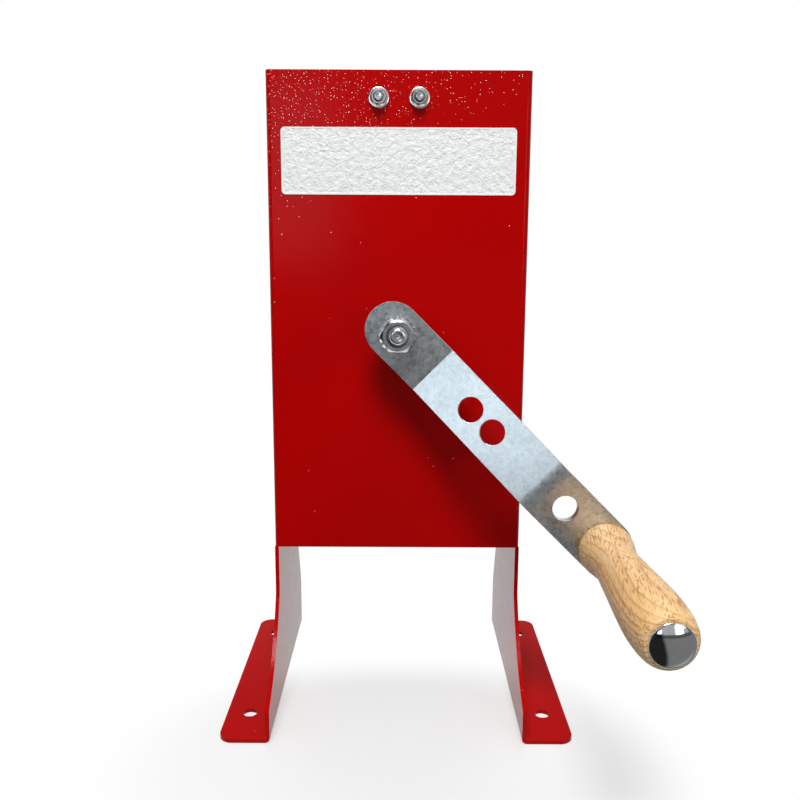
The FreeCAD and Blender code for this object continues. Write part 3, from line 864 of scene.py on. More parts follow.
class Repeat:
    """A geometry node tree that fills an object and is then turned into a plain mesh."""

    def __init__(self, name: str, **inputs: str) -> None:
        """Start the tree with its named inputs.

        Args:
            name: The tree's name.
            inputs: Names and kinds of the inputs after the geometry.
        """
        self.tree = bpy.data.node_groups.new(name, "GeometryNodeTree")
        face = self.tree.interface
        labels = {"Geometry": "Geometry", **inputs, "Material": "Material"}
        for label, kind in labels.items():
            face.new_socket(label, in_out="INPUT", socket_type="NodeSocket" + kind)
        face.new_socket("Geometry", in_out="OUTPUT", socket_type="NodeSocketGeometry")
        self.graph = Graph(self.tree)
        self.given = self.graph.node("NodeGroupInput").outputs

    def close(self, geometry: Value) -> "Repeat":
        """End the tree with plain geometry in one material.

        Args:
            geometry: The instances or the mesh.

        Returns:
            The same tree.
        """
        real = self.graph.value("GeometryNodeRealizeInstances", {}, {0: geometry})
        dressed = self.graph.value("GeometryNodeSetMaterial", {}, {
            "Geometry": real, "Material": self.given["Material"]})
        self.graph.node("NodeGroupOutput", {}, {0: dressed})
        return self

    def plant(self, inputs: dict[str, Any]) -> "Repeat":
        """Put a piece on every point, end the tree and return it."""
        return self.close(self.graph.value("GeometryNodeInstanceOnPoints", {}, inputs))

    def grow(self, name: str, base: bpy.types.Mesh, settings: dict[str, Any],
             crease: float) -> bpy.types.Object:
        """Run the tree on a mesh and keep the result as a plain mesh.

        Args:
            name: The piece's name.
            base: The mesh that the tree starts from.
            settings: Values of the tree's inputs, by name.
            crease: The angle past which an edge stays sharp, in degrees.

        Returns:
            The new object, without a modifier.
        """
        piece = bpy.data.objects.new(name, base)
        bpy.context.scene.collection.objects.link(piece)
        modifier = piece.modifiers.new("repeat", "NODES")
        modifier.node_group = self.tree
        for item in self.tree.interface.items_tree:
            if item.in_out == "INPUT" and item.name in settings:
                modifier[item.identifier] = settings[item.name]
        graph = bpy.context.evaluated_depsgraph_get()
        mesh = bpy.data.meshes.new_from_object(piece.evaluated_get(graph), depsgraph=graph)
        piece.modifiers.remove(modifier)
        piece.data = mesh
        mesh.name = name
        smooth_up_to(mesh, crease)
        return piece


def point_mesh(name: str, points: Sequence[Vector],
               edges: Sequence[tuple[int, int]] = ()) -> bpy.types.Mesh:
    """Make a mesh of points and edges.

    Args:
        name: The mesh's name.
        points: The places.
        edges: Pairs of points that are joined.

    Returns:
        The new mesh.
    """
    mesh = bpy.data.meshes.new(name)
    mesh.from_pydata([tuple(place) for place in points], list(edges), [])
    return mesh


def spots_tree() -> Repeat:
    """Build the tree that puts a piece on every point, each turned at random about Y.

    Returns:
        The tree.
    """
    repeat = Repeat("piece_on_points", Piece="Object", Seed="Int", Turn="Float")
    graph, given = repeat.graph, repeat.given
    piece = graph.value("GeometryNodeObjectInfo", {}, {0: given["Piece"]}, "Geometry")
    turn = graph.value("FunctionNodeRandomValue", {"data_type": "FLOAT"},
                       {"Max": given["Turn"], "Seed": given["Seed"]}, 1)
    angle = graph.value("ShaderNodeCombineXYZ", {}, {1: turn})
    points = graph.value("GeometryNodeMeshToPoints", {}, {0: given["Geometry"]})
    return repeat.plant({"Points": points, "Instance": piece, "Rotation": angle})


def row_tree() -> Repeat:
    """Build the tree that repeats a piece along a straight line.

    Returns:
        The tree.
    """
    repeat = Repeat("piece_in_a_row", Count="Int", Step="Vector")
    line = repeat.graph.value("GeometryNodeMeshLine", {"mode": "OFFSET"}, {
        "Count": repeat.given["Count"], "Offset": repeat.given["Step"]})
    return repeat.plant({"Points": line, "Instance": repeat.given["Geometry"]})


def circle_tree() -> Repeat:
    """Build the tree that repeats a piece round an axis along Y.

    Returns:
        The tree.
    """
    repeat = Repeat("piece_in_a_circle", Count="Int", Centre="Vector")
    graph, given = repeat.graph, repeat.given
    line = graph.value("GeometryNodeMeshLine", {"mode": "OFFSET"}, {
        "Count": given["Count"], "Start Location": given["Centre"], "Offset": (0.0, 0.0, 0.0)})
    index = graph.value("GeometryNodeInputIndex")
    angle = index.combined("DIVIDE", index * (2 * math.pi), Value(graph, given["Count"]))
    turn = graph.value("ShaderNodeCombineXYZ", {}, {1: angle})
    return repeat.plant({"Points": line, "Instance": given["Geometry"], "Rotation": turn})


def thread_tree() -> Repeat:
    """Build the tree that winds a thread's ridge round an axis along Y.

    Returns:
        The tree.
    """
    repeat = Repeat("thread_ridge", Turns="Float", Length="Float", Radius="Float", Ridge="Float",
                    Start="Vector")
    graph, given = repeat.graph, repeat.given
    spiral = graph.value("GeometryNodeCurveSpiral", {}, {
        "Resolution": 40, "Rotations": given["Turns"], "Start Radius": given["Radius"],
        "End Radius": given["Radius"], "Height": given["Length"]})
    laid = graph.value("GeometryNodeTransform", {}, {
        "Geometry": spiral, "Translation": given["Start"],
        "Rotation": (math.radians(90), 0.0, 0.0)})
    section = graph.value("GeometryNodeCurvePrimitiveCircle", {}, {
        "Resolution": 4, "Radius": given["Ridge"]})
    return repeat.close(graph.value("GeometryNodeCurveToMesh", {}, {
        "Curve": laid, "Profile Curve": section, "Fill Caps": True}))


def bead_tree() -> Repeat:
    """Build the tree that lays a rippled weld bead along a path.

    Returns:
        The tree.
    """
    repeat = Repeat("weld_bead", Pitch="Float", Radius="Float", Seed="Int")
    graph, given = repeat.graph, repeat.given
    path = graph.value("GeometryNodeMeshToCurve", {}, {0: given["Geometry"]})
    dots = graph.node("GeometryNodeCurveToPoints", {"mode": "LENGTH"}, {
        "Curve": path, "Length": given["Pitch"]}).outputs
    drop = graph.value("GeometryNodeMeshIcoSphere", {}, {
        "Radius": given["Radius"], "Subdivisions": 2})
    size = graph.value("FunctionNodeRandomValue", {"data_type": "FLOAT"},
                       {"Min": 0.86, "Max": 1.08, "Seed": given["Seed"]}, 1)
    return repeat.plant({"Points": dots["Points"], "Instance": drop,
                         "Rotation": dots["Rotation"], "Scale": size})


@dataclass
class Shop:
    """The finishes and the repeating trees that the sub-assemblies share."""

    finishes: dict[Slot, bpy.types.Material]
    spots: Repeat = field(default_factory=spots_tree)
    row: Repeat = field(default_factory=row_tree)
    circle: Repeat = field(default_factory=circle_tree)
    thread: Repeat = field(default_factory=thread_tree)
    bead: Repeat = field(default_factory=bead_tree)

    def keep(self, piece: bpy.types.Object, body: Body, slot: Slot, *nodes: str) -> None:
        """Give a piece its finish, its body and its slot, and log it.

        Args:
            piece: The finished object, at the origin.
            body: The body that it rides on.
            slot: The record's slot of its finish.
            nodes: The nodes that it stands for.
        """
        piece.data.materials.clear()
        piece.data.materials.append(self.finishes[slot])
        for face in piece.data.polygons:
            face.material_index = 0
        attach(piece, body.value)
        if nodes:
            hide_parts(*nodes)
        LOG.info("%s: %d faces on %s", piece.name, len(piece.data.polygons), body.value)

    def ease(self, body: Body, slot: Slot, width: float, *nodes: str) -> None:
        """Replace nodes by copies with eased edges.

        Args:
            body: The body that they ride on.
            slot: The record's slot.
            width: The width of the eased edge.
            nodes: The nodes.
        """
        for node in nodes:
            self.keep(eased_copy(node, width), body, slot, node)

    def repeat(self, tree: Repeat, name: str, base: bpy.types.Mesh, settings: dict[str, Any],
               body: Body, slot: Slot, *nodes: str, crease: float = 30.0) -> None:
        """Make a repeated piece.

        Args:
            tree: The tree that repeats it.
            name: The piece's name.
            base: The mesh that the tree starts from.
            settings: Values of the tree's inputs, by name.
            body: The body that it rides on.
            slot: The record's slot.
            nodes: The nodes that it stands for.
            crease: The angle past which an edge stays sharp, in degrees.
        """
        dressed = {**settings, "Material": self.finishes[slot]}
        self.keep(tree.grow(name, base, dressed, crease), body, slot, *nodes)

    def cut_thread(self, name: str, axis: Axis, span: tuple[float, float], radius: float,
                   pitch: float, body: Body) -> None:
        """Wind a thread round a bar.

        Args:
            name: The piece's name.
            axis: The bar's axis.
            span: Heights between which the thread runs.
            radius: The thread's outer radius.
            pitch: The rise of one turn.
            body: The body that it rides on.
        """
        ridge = 0.5 * pitch
        length = span[1] - span[0] - 2 * ridge
        start = axis.base + axis.outward * (span[0] + ridge if axis.outward < 0
                                            else span[1] - ridge)
        self.repeat(self.thread, name, bpy.data.meshes.new(name), {
            "Turns": length / pitch, "Length": length, "Radius": radius - ridge,
            "Ridge": ridge, "Start": (axis.x, start, axis.z)}, body, Slot.JAW)

    def weld(self, name: str, points: Sequence[Vector], radius: float, slot: Slot, body: Body,
             seed: int, looped: bool = False) -> None:
        """Lay a weld bead.

        Args:
            name: The piece's name.
            points: The path.
            radius: The bead's radius.
            slot: The finish.
            body: The body that it rides on.
            seed: The seed of its uneven ripples.
            looped: Whether the path is closed.
        """
        count = len(points)
        edges = [(index, (index + 1) % count) for index in range(count if looped else count - 1)]
        self.repeat(self.bead, name, point_mesh(name, points, edges), {
            "Pitch": 0.75 * radius, "Radius": radius, "Seed": seed}, body, slot, crease=180.0)


# Sub-assemblies


@dataclass
class Housing:
    """The folded housing, its label, rear wall, screws and bearings."""

    shop: Shop
    sheet_ease: float = 0.4 * MM
    small_ease: float = 0.3 * MM
    film_ease: float = 0.12 * MM
    screw_rows: int = 3
    screw_head: float = 4.75 * MM
    screw_brim: float = 0.8 * MM
    screw_crown: float = 2.75 * MM
    screw_shank: float = 2.5 * MM
    screw_length: float = 10.0 * MM
    socket_flats: float = 3.0 * MM
    socket_mouth: float = 1.85 * MM
    socket_depth: float = 1.6 * MM
    weld_nut_radius: float = 5.0 * MM
    weld_nut_bore: float = 2.5 * MM
    weld_nut_neck: float = 3.5 * MM
    weld_nut_pilot: float = 3.0 * MM
    weld_radius: float = 1.6 * MM
    weld_points: int = 60

    def build(self) -> None:
        """Build and dress every piece of the housing."""
        shop = self.shop
        shop.ease(Body.FRAME, Slot.RED, self.sheet_ease, "housing", "rear_wall")
        shop.ease(Body.FRAME, Slot.FILM, self.film_ease, "label_plate")
        shop.ease(Body.FRAME, Slot.RED, self.small_ease, "front_boss", "rear_boss", "lever_stop")
        shop.ease(Body.FRAME, Slot.BRONZE, self.small_ease, "front_bush", "rear_bush")
        self.build_rear_screws()
        self.build_weld_nuts()
        self.build_boss_welds()

    def repeat_at_screws(self, single: bpy.types.Object, node: str, y: float, seed: int,
                         turn: float) -> None:
        """Put a copy of a piece at each rear screw, in place of a node.

        Args:
            single: The piece, which is removed afterwards.
            node: The node.
            y: The place of the copies along Y.
            seed: The seed of their turns.
            turn: The largest turn of a copy, in radians.
        """
        screws = Extent("rear_wall_screws")
        head, last = self.screw_head, self.screw_rows - 1
        height = screws.high.z - screws.low.z - 2 * head
        points = [Vector((x, y, screws.low.z + head + height * row / last))
                  for x in (screws.low.x + head, screws.high.x - head)
                  for row in range(self.screw_rows)]
        self.shop.repeat(self.shop.spots, node + "_finished", point_mesh("spots", points), {
            "Piece": single, "Seed": seed, "Turn": turn}, Body.FRAME, Slot.BRIGHT, node)
        bpy.data.objects.remove(single)

    def build_rear_screws(self) -> None:
        """Build the six button-head screws."""
        socket = hexagon_rule(self.socket_flats, 0.0, 1.0)
        length, shank, head = self.screw_length, self.screw_shank, self.screw_head
        brim, crown, ease = self.screw_brim, self.screw_crown, 0.2 * MM
        rings = [Ring(-length, shank - 0.4 * MM), Ring(-length + 0.5 * MM, shank),
                 Ring(0.0, shank), Ring(0.0, head - ease), Ring(ease, head), Ring(brim, head)]
        dome = ((crown - brim) / math.sin(math.radians(72)), head - shank)
        rings += [Ring(*place) for place in arc((brim, shank), dome, range(12, 73, 12))]
        rings += [Ring(crown, bounded(socket, self.socket_mouth)), Ring(crown - ease, socket),
                  Ring(crown - self.socket_depth, socket)]
        screw = turned_piece("rear_screw", rings, [Axis(0.0, 0.0, 0.0, 1)], 48)
        self.repeat_at_screws(screw, "rear_wall_screws", Extent("rear_wall").high.y, 4, 1.0)

    def build_weld_nuts(self) -> None:
        """Build the nuts that the rear screws turn in."""
        nuts = Extent("rear_weld_nuts")
        depth, radius, ease = nuts.length, self.weld_nut_radius, 0.4 * MM
        bore, lead, neck = self.weld_nut_bore, 0.3 * MM, self.weld_nut_neck
        pilot = self.weld_nut_pilot
        rings = [Ring(0.0, bore), Ring(0.0, neck), Ring(pilot, neck), Ring(pilot, radius - ease),
                 Ring(pilot + ease, radius), Ring(depth - ease, radius),
                 Ring(depth, radius - ease), Ring(depth, bore + lead), Ring(depth - lead, bore)]
        nut = turned_piece("weld_nut", rings, [Axis(0.0, 0.0, 0.0)], 40, True)
        self.repeat_at_screws(nut, "rear_weld_nuts", nuts.high.y, 2, 0.0)

    def build_boss_welds(self) -> None:
        """Weld the two bosses to the insides of the walls."""
        for seed, (node, inward) in enumerate((("front_boss", 1), ("rear_boss", -1))):
            boss = Extent(node)
            wall = boss.axis(inward)
            points = [wall.point(boss.radius, 2 * math.pi * step / self.weld_points, 0.2 * MM)
                      for step in range(self.weld_points)]
            self.shop.weld(node + "_weld", points, self.weld_radius, Slot.RED, Body.FRAME, seed,
                           True)


@dataclass
class HingeRods:
    """The two rods that the jaws hang from, with their threads and flange nuts."""

    shop: Shop
    thread_radius: float = 3.0 * MM
    core_radius: float = 2.75 * MM
    pitch: float = 1.0 * MM
    nut_flats: float = 10.0 * MM
    nut_turn: float = 20.0
    nut_lead: float = 1.0 * MM
    flange_radius: float = 7.5 * MM
    flange_height: float = 1.4 * MM
    cone_radius: float = 6.25 * MM
    tip_chamfer: float = 0.35 * MM
    tip_hollow: float = 0.9 * MM
    tip_dish: float = 0.15 * MM
    tip_ease: float = 0.05 * MM
    bare_tip: float = 0.7 * MM
    thread_length: float = 13.0 * MM
    shoulder_gap: float = 0.5 * MM
    ease: float = 0.3 * MM

    def build(self) -> None:
        """Build the rods, their threads and their nuts."""
        for side in Side:
            self.build_rod(side)
        for node, outward in (("front_rod_nuts", -1), ("rear_rod_nuts", 1)):
            nuts = Extent(node)
            base = nuts.axis(outward).base
            middles = [Extent(side.word + "_hinge_rod").middle for side in Side]
            axes = [Axis(middle.x, middle.z, base, outward) for middle in middles]
            nut = Nut(self.nut_flats, nuts.length, self.thread_radius, self.nut_lead, self.nut_turn,
                      self.flange_radius, self.flange_height, self.cone_radius)
            self.shop.keep(nut.build(node + "_finished", axes), Body.FRAME, Slot.BRIGHT, node)

    def build_rod(self, side: Side) -> None:
        """Build one rod.

        Args:
            side: The side that it is on.
        """
        node = side.word + "_hinge_rod"
        rod, tube = Extent(node), Extent(side.word + "_hinge_tube")
        front = rod.high.y - tube.low.y + self.shoulder_gap
        rear = rod.high.y - tube.high.y - self.shoulder_gap
        core, length, ease = self.core_radius, rod.length, self.ease
        tip = core - self.tip_chamfer
        rings = [Ring(self.tip_dish, self.tip_hollow), Ring(0.0, tip - ease),
                 Ring(self.tip_ease, tip),
                 Ring(self.tip_chamfer, core), Ring(rear, core), Ring(rear, rod.radius - ease),
                 Ring(rear + ease, rod.radius), Ring(front - ease, rod.radius),
                 Ring(front, rod.radius - ease), Ring(front, core),
                 Ring(length - self.tip_chamfer, core), Ring(length - self.tip_ease, tip),
                 Ring(length, tip - ease), Ring(length - self.tip_dish, self.tip_hollow)]
        piece = turned_piece(node + "_finished", rings, [rod.axis()], 64, crease=28.0)
        self.shop.keep(piece, Body.FRAME, Slot.BRIGHT, node)
        span = (length - self.thread_length, length - self.bare_tip)
        for end, outward in (("front", -1), ("rear", 1)):
            self.shop.cut_thread(f"{node}_{end}_thread", rod.axis(outward), span,
                                 self.thread_radius, self.pitch, Body.FRAME)


@dataclass
class Jaw:
    """One hanging jaw: its hinge tube, its plate and the ribs that grip the nuts."""

    shop: Shop
    side: Side
    rest_angle: float = 8.0
    ease: float = 0.4 * MM
    plate_thickness: float = 5.0 * MM
    rib_height: float = 3.0 * MM
    rib_width: float = 5.0 * MM
    rib_first: float = 70.0 * MM
    rib_pitch: float = 20.0 * MM
    rib_count: int = 12
    rib_ease: float = 1.2 * MM
    bead_radius: float = 1.7 * MM
    bead_end: float = 4.0 * MM
    bead_seed: int = 5

    @property
    def body(self) -> Body:
        """Return the body of this jaw."""
        return Body.LEFT_JAW if self.side is Side.LEFT else Body.RIGHT_JAW

    def local(self, across: float, down: float, y: float) -> Vector:
        """Place a point that is given in the jaw's own directions.

        Args:
            across: The distance outwards from the plate's middle.
            down: The distance below the hinge.
            y: The place along Y.

        Returns:
            The place in the press.
        """
        middle = Extent(self.side.word + "_hinge_tube").middle
        angle = math.radians(self.rest_angle)
        x = across * math.cos(angle) + down * math.sin(angle)
        z = across * math.sin(angle) - down * math.cos(angle)
        return Vector((middle.x + self.side.value * x, y, middle.z + z))

    def build(self) -> None:
        """Build the tube, the plate, the ribs and the welds between them."""
        tube_node, plate_node = (self.side.word + part for part in ("_hinge_tube", "_jaw_plate"))
        self.shop.ease(self.body, Slot.JAW, self.ease, tube_node, plate_node)
        self.build_ribs()
        tube, plate = Extent(tube_node), Extent(plate_node)
        radius, half = (tube.high.z - tube.low.z) / 2, self.plate_thickness / 2
        for seed, across in enumerate((-half, half)):
            down = math.sqrt(radius ** 2 - across ** 2)
            ends = (plate.low.y + self.bead_end, plate.high.y - self.bead_end)
            points = [self.local(across, down, y) for y in ends]
            self.shop.weld(f"{self.side.word}_tube_weld_{seed}", points, self.bead_radius, Slot.JAW,
                           self.body, seed + self.bead_seed)

    def build_ribs(self) -> None:
        """Build one rib and repeat it down the plate."""
        node = self.side.word + "_jaw_ribs"
        ribs = Extent(node)
        half, round_ease = self.rib_width / 2, self.rib_ease
        foot = self.plate_thickness / 2
        top = foot + self.rib_height
        outline = [(foot, -half), *arc((top - round_ease, -half + round_ease),
                                       (round_ease, -round_ease), range(0, 91, 18))]
        outline += [(across, -down) for across, down in reversed(outline)]
        sheet = bmesh.new()
        rows = []
        for y, inset in ((ribs.low.y, self.ease), (ribs.low.y + self.ease, 0.0),
                         (ribs.high.y - self.ease, 0.0), (ribs.high.y, self.ease)):
            row = []
            for across, down in outline:
                down = math.copysign(max(abs(down) - inset, 0.0), down)
                place = self.local(min(across, top - inset), self.rib_first + down, y)
                row.append(sheet.verts.new(place))
            rows.append(row)
        join_rows(sheet, rows, False)
        for row in (rows[0], rows[-1]):
            sheet.faces.new(row)
        bmesh.ops.recalc_face_normals(sheet, faces=sheet.faces)
        step = self.local(0.0, self.rib_pitch, 0.0) - self.local(0.0, 0.0, 0.0)
        self.shop.repeat(self.shop.row, node + "_finished", plain_mesh("rib", sheet), {
            "Count": self.rib_count, "Step": tuple(step)}, self.body, Slot.JAW, node)


@dataclass
class CamShaft:
    """The shaft with its cams, pins and rings."""

    shop: Shop
    core_radius: float = 5.9 * MM
    thread_radius: float = 7.0 * MM
    pitch: float = 2.0 * MM
    hidden_thread: float = 8.0 * MM
    tip_chamfer: float = 1.9 * MM
    bare_tip: float = 1.9 * MM
    centre_mark: float = 1.6 * MM
    centre_point: float = 0.1 * MM
    groove: float = 1.2 * MM
    end_chamfer: float = 1.2 * MM
    cam_ease: float = 0.5 * MM
    ease: float = 0.3 * MM
    ring_ease: float = 0.2 * MM

    def build(self) -> None:
        """Build the shaft and what turns with it."""
        shop = self.shop
        shop.ease(Body.LEVER, Slot.JAW, self.cam_ease, "front_cam", "rear_cam", "cam_pins")
        shop.ease(Body.LEVER, Slot.BRIGHT, self.ease, "thrust_washer", "lever_spacer")
        shop.ease(Body.LEVER, Slot.JAW, self.ring_ease, "retaining_ring")
        self.build_shaft()

    def build_shaft(self) -> None:
        """Turn the shaft, with its groove, its centre marks and its thread."""
        shaft, ring = Extent("cam_shaft"), Extent("retaining_ring")
        core, radius, length = self.core_radius, shaft.radius, shaft.length
        shoulder = shaft.high.y - Extent("lever_spacer").low.y
        groove = (shaft.high.y - ring.high.y, shaft.high.y - ring.low.y)
        chamfer = self.tip_chamfer
        tip = core - chamfer
        rings = [Ring(self.centre_mark, self.centre_point), Ring(0.0, self.centre_mark),
                 Ring(0.0, radius - self.end_chamfer), Ring(self.end_chamfer, radius),
                 Ring(groove[0], radius), Ring(groove[0], radius - self.groove),
                 Ring(groove[1], radius - self.groove), Ring(groove[1], radius),
                 Ring(shoulder - self.ease, radius), Ring(shoulder, radius - self.ease),
                 Ring(shoulder, core), Ring(length - chamfer, core)]
        rings += [Ring(*place) for place in
                  arc((length - chamfer, tip), (chamfer, chamfer), (22.5, 45.0, 67.5, 90.0))]
        rings += [Ring(length - 0.15 * MM, tip - 0.8 * MM),
                  Ring(length - 0.25 * MM, self.centre_mark),
                  Ring(length - self.centre_mark, self.centre_point)]
        piece = turned_piece("cam_shaft_finished", rings, [shaft.axis()], 96, crease=28.0)
        self.shop.keep(piece, Body.LEVER, Slot.BRIGHT, "cam_shaft")
        start = shaft.high.y - Extent("pivot_nut").low.y - self.hidden_thread
        self.shop.cut_thread("cam_shaft_thread", shaft.axis(), (start, length - self.bare_tip),
                             self.thread_radius, self.pitch, Body.LEVER)


@dataclass
class Lever:
    """The cranked bar, its nut and its toothed washer."""

    shop: Shop
    bar_ease: float = 0.6 * MM
    nut_flats: float = 22.0 * MM
    nut_bore: float = 7.0 * MM
    nut_lead: float = 1.2 * MM
    washer_bore: float = 7.2 * MM
    washer_inset: float = 0.2 * MM
    washer_ease: float = 0.15 * MM
    teeth: int = 18
    tooth_length: float = 2.3 * MM
    tooth_width: float = 0.58
    tooth_taper: float = 0.9
    tooth_root: float = 0.6 * MM
    tooth_ease: float = 0.12 * MM
    tooth_twist: float = 14.0

    def build(self) -> None:
        """Build the bar, the nut and the washer."""
        self.shop.ease(Body.LEVER, Slot.ZINC, self.bar_ease, "lever_arm")
        place = Extent("pivot_nut")
        nut = Nut(self.nut_flats, place.length, self.nut_bore, self.nut_lead)
        piece = nut.build("pivot_nut_finished", [place.axis()])
        self.shop.keep(piece, Body.LEVER, Slot.BRIGHT, "pivot_nut")
        self.build_washer()

    def build_washer(self) -> None:
        """Build the washer's band and its ring of twisted teeth."""
        washer = Extent("toothed_washer")
        outer, thick = washer.radius, washer.length
        root = outer - self.tooth_length
        bore, foot, ease = self.washer_bore, self.washer_inset, self.washer_ease
        top = thick - foot
        rings = [Ring(foot, bore), Ring(foot, root), Ring(foot + ease, root + ease),
                 Ring(top - ease, root + ease), Ring(top, root), Ring(top, bore)]
        band = turned_piece("toothed_washer_finished", rings, [washer.axis()], 72, True)
        self.shop.keep(band, Body.LEVER, Slot.BRIGHT, "toothed_washer")
        tooth = bmesh.new()
        bmesh.ops.create_cube(tooth, size=1.0)
        width = 2 * math.pi * outer / self.teeth * self.tooth_width
        twist = math.radians(self.tooth_twist)
        for vert in tooth.verts:
            tip = vert.co.x > 0
            wide = width * (self.tooth_taper if tip else 1.0)
            flat = Vector((0.0, vert.co.y * 0.5 * thick, vert.co.z * wide))
            flat.rotate(Euler((twist if tip else 0.0, 0.0, 0.0)))
            vert.co = Vector((outer if tip else root - self.tooth_root, 0.0, 0.0)) + flat
        bmesh.ops.bevel(tooth, geom=list(tooth.edges), offset=self.tooth_ease, segments=1,
                        profile=0.5, affect="EDGES")
        self.shop.repeat(self.shop.circle, "toothed_washer_teeth", plain_mesh("tooth", tooth), {
            "Count": self.teeth, "Centre": tuple(washer.middle)}, Body.LEVER, Slot.BRIGHT)


@dataclass
class Handle:
    """The turned grip, its spindle and its domed cap."""

    shop: Shop
    profile: tuple[tuple[float, float], ...] = (
        (0.0, 17.0), (2.5, 18.3), (7.5, 19.0), (19.0, 17.4), (34.0, 15.2), (52.0, 15.9),
        (72.0, 16.95), (92.0, 18.1), (114.0, 19.0), (128.0, 18.7), (139.5, 17.5), (144.0, 16.2),
        (146.6, 14.6))
    base_flat: float = 16.2 * MM
    end_flat: float = 13.8 * MM
    profile_steps: int = 10
    bore: float = 5.2 * MM
    cap_bore: float = 5.0 * MM
    cap_rim: float = 1.2 * MM
    cap_brim: float = 0.8 * MM
    cap_ease: float = 0.45 * MM
    cap_pole: float = 0.02
    cap_steps: int = 18
    spindle_core: float = 4.4 * MM
    spindle_chamfer: float = 0.8 * MM
    spindle_pitch: float = 1.5 * MM
    spindle_hollow: float = 1.2 * MM
    nut_flats: float = 17.0 * MM
    nut_lead: float = 0.8 * MM
    washer_ease: float = 0.25 * MM

    def build(self) -> None:
        """Build the grip, the cap and the spindle's parts."""
        grip = Extent("handle_grip")
        rings = [Ring(0.0, self.bore), Ring(0.0, self.base_flat)]
        rings += [Ring(along * MM, radius * MM) for along, radius in self.smooth_profile()]
        rings += [Ring(grip.length, self.end_flat), Ring(grip.length, self.bore)]
        piece = turned_piece("handle_grip_finished", rings, [grip.axis()], 128, True, 40.0)
        self.shop.keep(piece, Body.GRIP, Slot.BEECH, "handle_grip")
        self.build_cap(grip.axis())
        self.build_spindle()
        self.shop.ease(Body.LEVER, Slot.BRIGHT, self.washer_ease, "handle_washer")

    def smooth_profile(self) -> list[tuple[float, float]]:
        """Pass a smooth curve through the profile's points.

        Returns:
            Places along the grip with their radii, in millimetres.
        """
        points = [Vector(place) for place in self.profile]
        points = [2 * points[0] - points[1], *points, 2 * points[-1] - points[-2]]
        smooth = []
        for before, start, end, after in zip(points, points[1:], points[2:], points[3:]):
            slope_in = (end - before) * ((end - start).x / (end - before).x)
            slope_out = (after - start) * ((end - start).x / (after - start).x)
            for step in range(self.profile_steps):
                t = step / self.profile_steps
                place = ((2 * t ** 3 - 3 * t ** 2 + 1) * start + (t ** 3 - 2 * t ** 2 + t) * slope_in
                         + (3 * t ** 2 - 2 * t ** 3) * end + (t ** 3 - t ** 2) * slope_out)
                smooth.append((place.x, place.y))
        smooth.append(tuple(points[-2]))
        return smooth[1:]

    def build_cap(self, grip: Axis) -> None:
        """Build the domed cap.

        Args:
            grip: The grip's axis.
        """
        cap = Extent("handle_end_cap")
        rim, ease = self.cap_rim, self.cap_ease
        shoulder, size = cap.radius - ease, (ease, ease)
        places = [(0.0, self.cap_bore), (0.0, shoulder)]
        places += arc((ease, shoulder), size, (-67.5, -45.0, -22.5, 0.0))
        places += arc((rim - ease, shoulder), size, (0.0, 22.5, 45.0, 67.5, 90.0))
        brim, rise = cap.radius - self.cap_brim, cap.length - rim
        ball = (brim ** 2 + rise ** 2) / (2 * rise)
        for step in range(self.cap_steps):
            reach = brim * (1 - step / self.cap_steps)
            places.append((rim + math.sqrt(ball ** 2 - reach ** 2) - (ball - rise), reach))
        places.append((cap.length, self.cap_pole * brim))
        rings = [Ring(*place) for place in places]
        axis = Axis(grip.x, grip.z, cap.high.y)
        piece = turned_piece("handle_end_cap_finished", rings, [axis], 128, crease=50.0)
        self.shop.keep(piece, Body.LEVER, Slot.CHROME, "handle_end_cap")

    def build_spindle(self) -> None:
        """Build the spindle, its thread and its nut."""
        shop = self.shop
        spindle, washer, nuts = (Extent("handle_" + part) for part in ("spindle", "washer", "nut"))
        core, radius = self.spindle_core, spindle.radius
        seat = spindle.high.y - washer.low.y
        rings = [Ring(0.15 * MM, self.spindle_hollow), Ring(0.0, core - self.spindle_hollow),
                 Ring(self.spindle_chamfer, core), Ring(seat, core), Ring(seat, radius),
                 Ring(spindle.length, radius)]
        piece = turned_piece("handle_spindle_finished", rings, [spindle.axis()], 64, crease=28.0)
        shop.keep(piece, Body.LEVER, Slot.BRIGHT, "handle_spindle")
        x, z = spindle.middle.x, spindle.middle.z
        shop.cut_thread("handle_spindle_thread", Axis(x, z, washer.low.y, 1), (0.0, seat), radius,
                        self.spindle_pitch, Body.LEVER)
        nut = Nut(self.nut_flats, nuts.length, radius, self.nut_lead)
        piece = nut.build("handle_nut_finished", [Axis(x, z, nuts.low.y, 1)])
        shop.keep(piece, Body.LEVER, Slot.BRIGHT, "handle_nut")


# Studio


@dataclass(frozen=True)
class Softbox:
    """A soft lamp that looks at the press from a direction."""

    name: str
    azimuth: float
    elevation: float
    distance: float
    width: float
    height: float
    watts: float
    colour: Triple = (1.0, 1.0, 1.0)
    target: Triple = (0.03, -0.05, 0.25)

    def build(self) -> None:
        """Add the lamp."""
        lamp = bpy.data.lights.new(self.name, "AREA")
        lamp.shape = "RECTANGLE"
        lamp.size, lamp.size_y = self.width, self.height
        lamp.energy = self.watts
        lamp.color = self.colour
        lift, swing = math.radians(self.elevation), math.radians(self.azimuth)
        direction = Vector((math.sin(swing) * math.cos(lift), -math.cos(swing) * math.cos(lift),
                            math.sin(lift)))
        holder = bpy.data.objects.new(self.name, lamp)
        holder.location = Vector(self.target) + direction * self.distance
        holder.rotation_euler = direction.to_track_quat("Z", "Y").to_euler()
        bpy.context.scene.collection.objects.link(holder)


